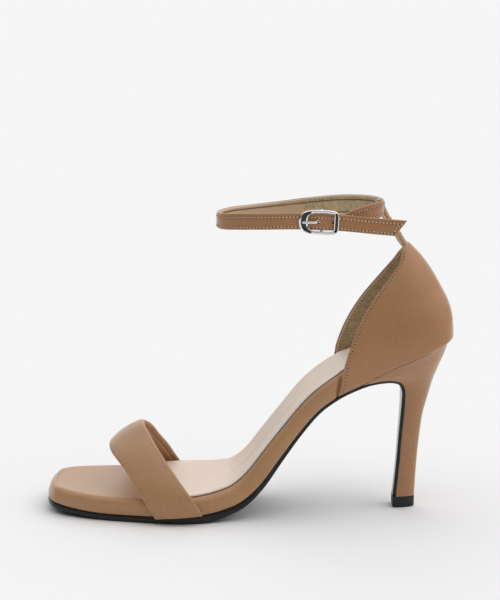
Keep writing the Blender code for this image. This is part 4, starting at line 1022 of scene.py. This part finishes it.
def quarter():
    """Heel quarter: a wall on both sides of its middle surface with round folded edges, a painted shade line
    at the seat, a pulled-in stitch row near the front edges, and inside them the lining's own cut edge."""
    grid = quarter_grid()
    normal = grid_normals(grid)
    rise = measured(grid[:, 0])[:, None]
    level = unit(np.cross(np.gradient(grid, axis=1), (0, 0, 1)))
    normal = unit(level + (normal - level) * smooth((rise[..., None] - 0.001) / 0.006))
    distance = edge_distance(grid)
    front = edge_distance(grid, rows=(False, False))
    half = rim(distance, WALL, 0.0010)
    away = np.minimum(smooth((rise - 0.001) / 0.002), smooth((rise[-1] - rise - 0.001) / 0.002))
    pulled = GROOVE * bell(front - FRONT_STITCH, GROOVE_WIDTH) * away * smooth(distance / EDGE_FADE)
    middle = grid - normal * WALL / 2
    high = smooth((rise / rise[-1] - 0.80) / 0.02)
    margin = 0.0009 + 0.0008 * high
    step = LINING_STEP * smooth((distance - margin) / 0.0002)
    out = half - pulled
    back = half - 0.0003 * smooth(distance / 0.0006) + step - pulled * 0.6
    # Outer faces this close to the seat get the dark finish: painted shade along the seam, not a groove.
    seam_shade = np.where(face_mean(grid[..., 2] - grid[:1, :, 2]) < SEAM_SHADE_HEIGHT, 3, 0)
    wall_piece("heel_quarter", (middle, normal, out, back), [UPPER_LEATHER, SUEDE, CUT_EDGE, HOLE_WALL_AND_SEAM_SHADE],
               "heel_upper", lined(distance, margin, 0.0006), seam_shade)
    column = int(np.argmin(np.abs(EDGE_STEPS - FRONT_STITCH)))
    rows = slice(int(np.argmax(rise[:, 0] > 0.0022)), int(np.argmin(rise[:, 0] < rise[-1, 0] - 0.003)))
    for name, k in (("outer", column), ("inner", -1 - column)):
        line = (middle + normal * out[..., None])[rows, k]
        stitch_pair(f"quarter_{name}", line, normal[rows, k], TAN_THREAD)
        inside = (middle - normal * back[..., None])[rows, k]
        stitch_pair(f"quarter_{name}_inside", inside, -normal[rows, k])


def back_tab():
    """Back tab: a strip curved round the heel tendon, from inside the quarter up over the strap."""
    rows = quarter_rows(lambda total: np.array([total]))
    low = np.array([rows["back"][-1], rows["back_z"][-1]])
    share = np.column_stack([TAB["ahead"], TAB["climb"]])
    points = low + share * (np.array([-LOOP_AHEAD, LOOP_HEIGHT]) - low)
    s = measured(points)
    line = spline(s, points, edged(s[-1], 50))
    along = unit(np.gradient(line, axis=0))
    turn = (edged(TAB_WIDTH, 24) - 0.5 * TAB_WIDTH + TAB_TURN) / TAB_ROUND
    depth = TAB_ROUND * (1 - np.cos(turn))
    outside = np.empty((len(line), len(turn), 3))
    outside[:, :, 0] = line[:, :1] - depth[None] * along[:, 1:2]
    outside[:, :, 1] = TAB_ROUND * np.sin(turn)
    outside[:, :, 2] = line[:, 1:] + depth[None] * along[:, :1]
    normal = grid_normals(outside)
    distance = edge_distance(outside)
    sides = edge_distance(outside, rows=(False, False))
    half = rim(distance, TAB_THICKNESS, 0.0009)
    pulled = GROOVE * bell(sides - FRONT_STITCH, GROOVE_WIDTH) * smooth(distance / EDGE_FADE)
    middle = outside - normal * TAB_THICKNESS / 2
    out, back = half - pulled, half - pulled * 0.5
    margin = np.where(turn < 0, 0.00005, 0.0006)
    wall_piece("back_tab", (middle, normal, out, back), [UPPER_LEATHER, SUEDE, CUT_EDGE],
               "heel_upper", lined(distance, margin[None]))
    column = int(np.argmin(np.abs(EDGE_STEPS - FRONT_STITCH)))
    skin = middle + normal * out[..., None]
    height = skin[:, 0, 2]
    above = ((height > at_x("z", HEEL_SETBACK) + QUARTER_HEIGHT * 1.02) & (height < LOOP_HEIGHT + 0.0035))
    for name, k in (("outer", column), ("inner", -1 - column)):
        stitch_pair(f"tab_{name}", skin[above, k], normal[above, k])
    for name, level in (("low", LOOP_HEIGHT - 0.0052), ("high", LOOP_HEIGHT + 0.0034)):
        row = int(np.argmin(np.abs(skin[:, skin.shape[1] // 2, 2] - level)))
        stitch_pair(f"tab_bar_{name}", skin[row, column:-column], normal[row, column:-column])


# Straps

class Ribbon:
    """A strap's middle line with its own directions: along, outwards from the loop, and up."""

    def __init__(self, points):
        s = measured(points)
        self.points = spline(s, points, np.linspace(0, s[-1], FINE))
        self.s = measured(self.points)
        self.along = unit(np.gradient(self.points, self.s, axis=0))
        self.out = unit(np.cross(self.along, (0, 0, 1)))
        self.up = np.cross(self.out, self.along)

    def at(self, s, n, b):
        """World points at lengths s, n outwards and b up."""
        s, n, b = np.broadcast_arrays(s, n, b)
        read = [np.stack([np.interp(s, self.s, axis) for axis in way.T], axis=-1)
                for way in (self.points, self.out, self.up)]
        return read[0] + n[..., None] * read[1] + b[..., None] * read[2]


def loop_points(rows):
    """World points from rows in the loop's own shares."""
    return np.column_stack([-LOOP_AHEAD - rows["ahead"] * LOOP_LENGTH, rows["side"] * LOOP_WIDTH / 2,
                            LOOP_HEIGHT - rows["drop"] * LOOP_FALL])


LONG = Ribbon(loop_points(LOOP))
FRONT_MOST = int(np.argmin(LONG.points[:, 0]))
BUCKLE_S = np.interp(-BUCKLE_AHEAD, LONG.points[FRONT_MOST:, 0], LONG.s[FRONT_MOST:])
SEAM_S = np.interp(-LINING_SEAM_X, -LONG.points[:FRONT_MOST, 0], LONG.s[:FRONT_MOST])
FOLD_RADIUS = PIVOT_RADIUS + GAP + CARRIER_THICKNESS
PIVOT_N = STRAP_LIFT - STRAP_THICKNESS / 2 - GAP / 2 - FOLD_RADIUS
FRAME_N = STRAP_THICKNESS / 2 + GAP + BUCKLE_WIRE / 2
PRONG_HOLE_S = PIVOT_S - PIVOT_RADIUS - GAP - PRONG_RADIUS
STITCH_ROWS = {"top": STRAP_WIDTH / 2 - TOP_STITCH, "low": LOW_STITCH - STRAP_WIDTH / 2}


def strap_lift(s):
    """How far the long strap bows out where it passes over the buckle's centre bar."""
    return STRAP_LIFT * bell(s - BUCKLE_S - PIVOT_S, LIFT_REACH)


def strap_spread(s):
    """How much farther down the long strap's lower edge hangs on the inner side, near the tab."""
    return STRAP_SPREAD * smooth((s - 0.004) / 0.012) * smooth((0.085 - s) / 0.045)


def strap_wall(ribbon, s, thickness, lift=lambda at: 0 * at, spread=lambda at: 0 * at, skew=0.0):
    """A strap's grids: its middle surface, outward normals, half wall, edge distances and heights."""
    b = edged(STRAP_WIDTH, 8)[None] - STRAP_WIDTH / 2
    below_top = 0.5 - b / STRAP_WIDTH
    weight = smooth((s - (s[-1] - 0.030)) / 0.030)[:, None]
    at = s[:, None] - skew * below_top * weight
    middle = ribbon.at(at, lift(at), b - spread(at) * below_top)
    out = np.stack([np.interp(at, ribbon.s, axis) for axis in ribbon.out.T], axis=-1)
    distance = edge_distance(middle)
    return middle, out, rim(distance, thickness, 0.0007), distance, np.broadcast_to(b, at.shape)


def strap_pull(b, distance):
    """How deep a strap's two rows of stitches pull its leather in, fading out at its edges."""
    rows = sum(bell(b - height, 0.9 * GROOVE_WIDTH) for height in STITCH_ROWS.values())
    return GROOVE * rows * smooth(distance / EDGE_FADE)


def cut(target, shape):
    """Cuts the shape out of a piece at once and takes the shape away."""
    step = target.modifiers.new("cut", "BOOLEAN")
    step.operation = "DIFFERENCE"
    step.solver = "EXACT"
    step.object = shape
    step.material_mode = "TRANSFER"
    with bpy.context.temp_override(object=target, active_object=target, selected_objects=[target]):
        bpy.ops.object.modifier_apply(modifier=step.name)
    bpy.data.objects.remove(shape, do_unlink=True)


def punch(name, s, radius, reach):
    """A round cutter through the strap at a length along it."""
    turn = np.arange(28) * math.tau / 28
    loops = [LONG.at(s + r * np.cos(turn), n, r * np.sin(turn))
             for n, r in ((reach[0], 0), (reach[0], radius), (reach[1], radius), (reach[1], 0))]
    return closed_mesh(name, loops, grid_faces(4, len(turn), ring=True), [HOLE_WALL_AND_SEAM_SHADE])


def long_strap():
    """The ankle strap from the loop's back round the ankle, through the buckle, to its cut tail."""
    end = LONG.s[-1]
    first, last = BUCKLE_S - 0.014, BUCKLE_S + 0.016
    s = np.concatenate([np.linspace(0, first, 190)[:-1], np.linspace(first, last, 90)[:-1],
                        np.linspace(last, end - 0.003, 70), end - EDGE_STEPS[::-1]])
    middle, out, half, distance, b = strap_wall(LONG, s, STRAP_THICKNESS, strap_lift, strap_spread, TAIL_SKEW)
    pulled = strap_pull(b, distance) * smooth((end - s[:, None] - 0.001) / 0.002)
    swell = 0.00012 * np.clip(1 - (b / (STRAP_WIDTH / 2)) ** 2, 0, 1) * smooth(distance / EDGE_FADE)
    inside = lined(distance, 0.0002, 0.0006)
    smooth_lining = face_mean(np.broadcast_to(s[:, None], half.shape)) > SEAM_S
    inside = np.where((inside == 1) & smooth_lining, 3, inside)
    finishes = [STRAP_LEATHER, SUEDE, CUT_EDGE, BEIGE_LINING, HOLE_WALL_AND_SEAM_SHADE]
    made = wall_piece("ankle_strap", (middle, out, half + swell - pulled, half - 0.6 * pulled), finishes,
                      "heel_upper", inside)
    for i in range(1 + SPARE_HOLES):
        at = BUCKLE_S + PRONG_HOLE_S + i * STRAP_HOLE_PITCH
        reach = (strap_lift(at) - STRAP_THICKNESS, strap_lift(at) + STRAP_THICKNESS)
        cut(made, punch(f"hole_{i}", at, SPARE_HOLE_RADIUS if i else STRAP_HOLE_RADIUS, reach))
    line_s = np.linspace(0.002, end - 0.0016, 700)
    for name, height in STITCH_ROWS.items():
        run = line_s[line_s < end - 0.0016 - TAIL_SKEW * (0.82 if name == "low" else 0.0)]
        height = height - strap_spread(run) * (0.5 - height / STRAP_WIDTH)
        face = LONG.at(run, strap_lift(run) + STRAP_THICKNESS / 2 + 0.00003, height)
        out_way = LONG.at(run, 1.0, height) - LONG.at(run, 0.0, height)
        stitch_pair(f"strap_{name}", face, out_way)
        lining = LONG.at(run, strap_lift(run) - STRAP_THICKNESS / 2 + 0.00002, height)
        stitch_pair(f"strap_{name}_inside", lining, -out_way, DARK_THREAD)
    climb = np.linspace(STITCH_ROWS["low"] + 0.0006, STITCH_ROWS["top"] - 0.0004, 30)
    slant = end - 0.0021 - TAIL_SKEW * (0.5 - climb / STRAP_WIDTH)
    face = LONG.at(slant, STRAP_THICKNESS / 2, climb)
    stitch_pair("strap_tail", face, LONG.at(slant, 1.0, climb) - LONG.at(slant, 0.0, climb))


def short_strap():
    """The buckle's short strap, its leather side outwards, folded round the centre bar."""
    inside = -(STRAP_THICKNESS / 2 + GAP + CARRIER_THICKNESS / 2)
    fold = FOLD_RADIUS - CARRIER_THICKNESS / 2
    turn = np.radians([-90, -135, 180, 135, 90, 60])
    rear = [(CARRIER_REACH, inside), (0.64 * CARRIER_REACH, inside),
            (0.36 * CARRIER_REACH, PIVOT_N - 0.75 * fold)]
    curl = [(PIVOT_S + fold * math.cos(t), PIVOT_N + fold * math.sin(t)) for t in turn]
    local = np.array(rear + curl)
    front = LONG.at(BUCKLE_S + local[:, 0], local[:, 1], np.zeros(len(local)))
    ribbon = Ribbon(np.concatenate([loop_points(CARRIER), front]))
    length = ribbon.s[-1]
    folded = length - 0.016  # from here on the leather shows on both sides
    s = np.concatenate([np.linspace(0, folded, 60)[:-1], np.linspace(folded, length - 0.003, 60),
                        length - EDGE_STEPS[::-1]])
    middle, out, half, distance, b = strap_wall(ribbon, s, CARRIER_THICKNESS)
    zones = np.where(face_mean(np.broadcast_to(s[:, None], half.shape)) > folded, 0, lined(distance, 0.0006))
    made = wall_piece("buckle_strap", (middle, -out, half - strap_pull(b, distance), half),
                      [STRAP_LEATHER, SUEDE, CUT_EDGE, HOLE_WALL_AND_SEAM_SHADE], "heel_upper", zones)
    reach = FOLD_RADIUS + 2 * GAP
    wide = PRONG_RADIUS + 2 * GAP
    corners = np.array([(-wide, -reach), (-wide, reach), (wide, reach), (wide, -reach)])
    stops = np.array([-reach, -reach, SLOT_LENGTH, SLOT_LENGTH]) + PIVOT_S
    sizes = (0, 1, 1, 0)
    loops = [LONG.at(BUCKLE_S + stop, PIVOT_N + corners[:, 1] * size, corners[:, 0] * size)
             for stop, size in zip(stops, sizes)]
    cut(made, closed_mesh("prong_slot", loops, grid_faces(4, 4, ring=True), [HOLE_WALL_AND_SEAM_SHADE]))
    run = np.linspace(0.003, folded - 0.0025, 240)
    for name, height in STITCH_ROWS.items():
        line = ribbon.at(run, -CARRIER_THICKNESS / 2, height)
        out_way = ribbon.at(run, 0.0, height) - ribbon.at(run, 1.0, height)
        stitch_pair(f"short_{name}", line, out_way)


# Buckle

def on_strap(local):
    """World points from places along, up and outwards at the buckle."""
    return LONG.at(BUCKLE_S + local[..., 0], local[..., 2], local[..., 1])


def tube(points, radius, sides=14):
    """Grid of a round bar along points, with rounded ends."""
    along = unit(np.gradient(points, axis=0))
    flat = unit(np.cross(along, np.cross(points[-1] - points[0], points[len(points) // 2] - points[0])))
    side = np.cross(along, flat)
    turn = np.arange(sides) * math.tau / sides
    s = measured(points)
    taper = np.minimum(s, s[-1] - s) / radius
    r = radius * np.sqrt(1 - (1 - np.clip(taper, 0, 1)) ** 2)
    return points[:, None] + r[:, None, None] * (np.cos(turn)[None, :, None] * flat[:, None]
                                                 + np.sin(turn)[None, :, None] * side[:, None])


def buckle_frame():
    """Bright frame: a broad round bow with a channel along it, slim legs and a flat bar across the
    strap. The channel's upper faces on bow and bar are near-black metal, a painted dark reflection. Its
    section is an oval carried round a rounded outline."""
    wire = BUCKLE_WIRE / 2
    turn = np.arange(400) * math.tau / 400
    power = np.where(np.cos(turn) < 0, 2.6, 7.0)
    ahead, behind = (BUCKLE_LENGTH - BOW_WIDTH) / 2, (BUCKLE_LENGTH - KEEPER_WIDTH) / 2
    reach = np.where(np.cos(turn) < 0, ahead, behind)
    a = reach * np.sign(np.cos(turn)) * np.abs(np.cos(turn)) ** (2 / power)
    b = (BUCKLE_HEIGHT / 2 - wire) * np.sign(np.sin(turn)) * np.abs(np.sin(turn)) ** (2 / power)
    path = np.column_stack([a, b])
    closed = np.concatenate([path, path[:1]])
    length = measured(closed)[-1]
    path = along_line(closed, np.linspace(0, length, 221))[:-1]
    for _ in range(3):
        path = (np.roll(path, 1, axis=0) + 2 * path + np.roll(path, -1, axis=0)) / 4
    tangent = unit(np.roll(path, -1, axis=0) - np.roll(path, 1, axis=0))
    across = np.column_stack([tangent[:, 1], -tangent[:, 0]])
    bow = np.clip(-path[:, 0] / ahead, 0, 1) ** 3
    bar = np.clip(path[:, 0] / behind, 0, 1) ** 24
    half = wire + bow * (BOW_WIDTH / 2 - wire) + bar * (KEEPER_WIDTH / 2 - wire)
    ring = np.arange(36) * math.tau / 36
    wide = np.sign(np.cos(ring)) * np.abs(np.cos(ring)) ** 0.8
    high = np.sin(ring)
    broad = np.maximum(bow, bar)[:, None]
    channel = 0.42 * bell(wide, 0.42) * (high > 0)
    height = wire * (high - channel * broad)
    flat = path[:, None] + across[:, None] * (half[:, None] * wide)[..., None]
    local = np.concatenate([flat, (FRAME_N + height)[..., None]], axis=-1)
    grid = on_strap(local)
    grid = np.concatenate([grid, grid[:1]])
    # The channel's upward faces on bow and bar get the near-black metal: a painted dark reflection.
    facing = (np.abs(wide) < 0.66) & (high > 0)
    dark = (facing & np.roll(facing, -1))[None] & (broad > 0.12)
    ring_piece("buckle_frame_bright", grid, [BRIGHT, PAINTED_DARK_REFLECTION], "buckle_frame", dark)
    leg = BUCKLE_HEIGHT / 2 - wire
    nick = PIVOT_BEND * (1 - math.sqrt(0.5))
    drop = np.array([(leg, FRAME_N), (leg, 0.0), (leg, PIVOT_N + PIVOT_BEND), (leg - nick, PIVOT_N + nick),
                     (leg - PIVOT_BEND, PIVOT_N), (leg - 2 * PIVOT_BEND, PIVOT_N), (0.0, PIVOT_N)])
    both = np.concatenate([drop, drop[-2::-1] * (-1, 1)])
    s = measured(both)
    bent = spline(s, both, np.linspace(0, s[-1], 90))
    line = on_strap(np.column_stack([np.full(len(bent), PIVOT_S), bent]))
    ring_piece("buckle_centre_bar", tube(line, PIVOT_RADIUS), [BRIGHT], "buckle_frame")


def buckle_prong():
    """Prong: an eye round the centre bar, up through the strap's hole, then forward onto the bow."""
    eye = PIVOT_RADIUS + GAP + PRONG_RADIUS
    turn = np.radians(np.arange(60, -181, -30))
    circle = [(PIVOT_S + eye * math.cos(t), PIVOT_N + eye * math.sin(t)) for t in turn]
    top = FRAME_N + BUCKLE_WIRE / 2 + PRONG_RADIUS + GAP
    tip = BUCKLE_WIRE - BUCKLE_LENGTH / 2
    rest = np.column_stack([PRONG_HOLE_S + PRONG["ahead"] * (tip - PRONG_HOLE_S), PRONG["climb"] * top])
    points = np.concatenate([circle, rest])
    s = measured(points)
    bent = spline(s, points, np.linspace(0, s[-1], 120))
    line = on_strap(np.column_stack([bent[:, 0], np.zeros(len(bent)), bent[:, 1]]))
    ring_piece("buckle_prong_bright", tube(line, PRONG_RADIUS), [BRIGHT], "buckle_prong")


# Floor, light and camera

def stage_floor():
    """A plain pale floor that runs well past the camera's view."""
    made = Finish("pale floor", 1.0, Specular_IOR_Level=0.0)
    made.set("Base Color", (0.93, 0.93, 0.935, 1.0))
    mesh = bpy.data.meshes.new("floor")
    size = 9.0
    mesh.from_pydata([(-size, -size, -0.0001), (size, -size, -0.0001), (size, size, -0.0001),
                      (-size, size, -0.0001)], [], [(0, 1, 2, 3)])
    mesh.materials.append(made.material)
    floor = bpy.data.objects.new("floor", mesh)
    bpy.context.scene.collection.objects.link(floor)


def studio():
    """Soft light from one sky: bright overhead, dim low down, with glows low behind and high on the right."""
    world = bpy.data.worlds.new("studio")
    world.use_nodes = True
    nodes, links = world.node_tree.nodes, world.node_tree.links
    backdrop = nodes["Background"]
    where = nodes.new("ShaderNodeTexCoord")

    def add(one, two):
        both = nodes.new("ShaderNodeMath")
        links.new(one, both.inputs[0])
        links.new(two, both.inputs[1])
        return both.outputs["Value"]

    total = None
    for axis, start, full, low, high in SKY:
        facing = nodes.new("ShaderNodeVectorMath")
        facing.operation = "DOT_PRODUCT"
        facing.inputs[1].default_value = axis
        links.new(where.outputs["Generated"], facing.inputs[0])
        rise = nodes.new("ShaderNodeMapRange")
        rise.interpolation_type = "SMOOTHSTEP"
        for name, value in (("From Min", start), ("From Max", full), ("To Min", low), ("To Max", high)):
            rise.inputs[name].default_value = value
        links.new(facing.outputs["Value"], rise.inputs["Value"])
        total = rise.outputs["Result"] if total is None else add(total, rise.outputs["Result"])
    links.new(total, backdrop.inputs["Strength"])
    backdrop.inputs["Color"].default_value = (1.0, 1.0, 1.0, 1.0)
    bpy.context.scene.world = world


def photo_camera():
    """The photo's own viewpoint, in metres, with its small turn about the view line."""
    yaw, pitch, roll = math.radians(1.0), math.radians(11.519), math.radians(0.4)
    forward = Vector((math.sin(yaw) * math.cos(pitch), math.cos(yaw) * math.cos(pitch), -math.sin(pitch)))
    right = Vector((math.cos(yaw), -math.sin(yaw), 0.0))
    up = right.cross(forward)
    turned = right * math.cos(roll) + up * math.sin(roll)
    upright = up * math.cos(roll) - right * math.sin(roll)
    data = bpy.data.cameras.new("camera")
    data.sensor_fit = "VERTICAL"
    data.sensor_height = 36.0
    focal_pixels, frame_pixels = 2276.7, 600.0
    right_pixels, up_pixels = -1.534, 0.424
    data.lens = data.sensor_height * focal_pixels / frame_pixels
    data.shift_x = right_pixels / frame_pixels
    data.shift_y = up_pixels / frame_pixels
    data.clip_end = 50.0
    camera = bpy.data.objects.new("camera", data)
    matrix = Matrix((turned, upright, -forward)).transposed().to_4x4()
    matrix.translation = (-0.1012, -1.150, 0.3437)
    camera.matrix_world = matrix
    bpy.context.scene.collection.objects.link(camera)
    bpy.context.scene.camera = camera


stage_floor()
studio()
photo_camera()
footbed_wrap()
sock_sheet()
outsole_sheet()
heel_wrap()
heel_tip()
toe_band()
quarter()
back_tab()
long_strap()
short_strap()
buckle_frame()
buckle_prong()
bpy.context.scene.view_settings.view_transform = "Standard"
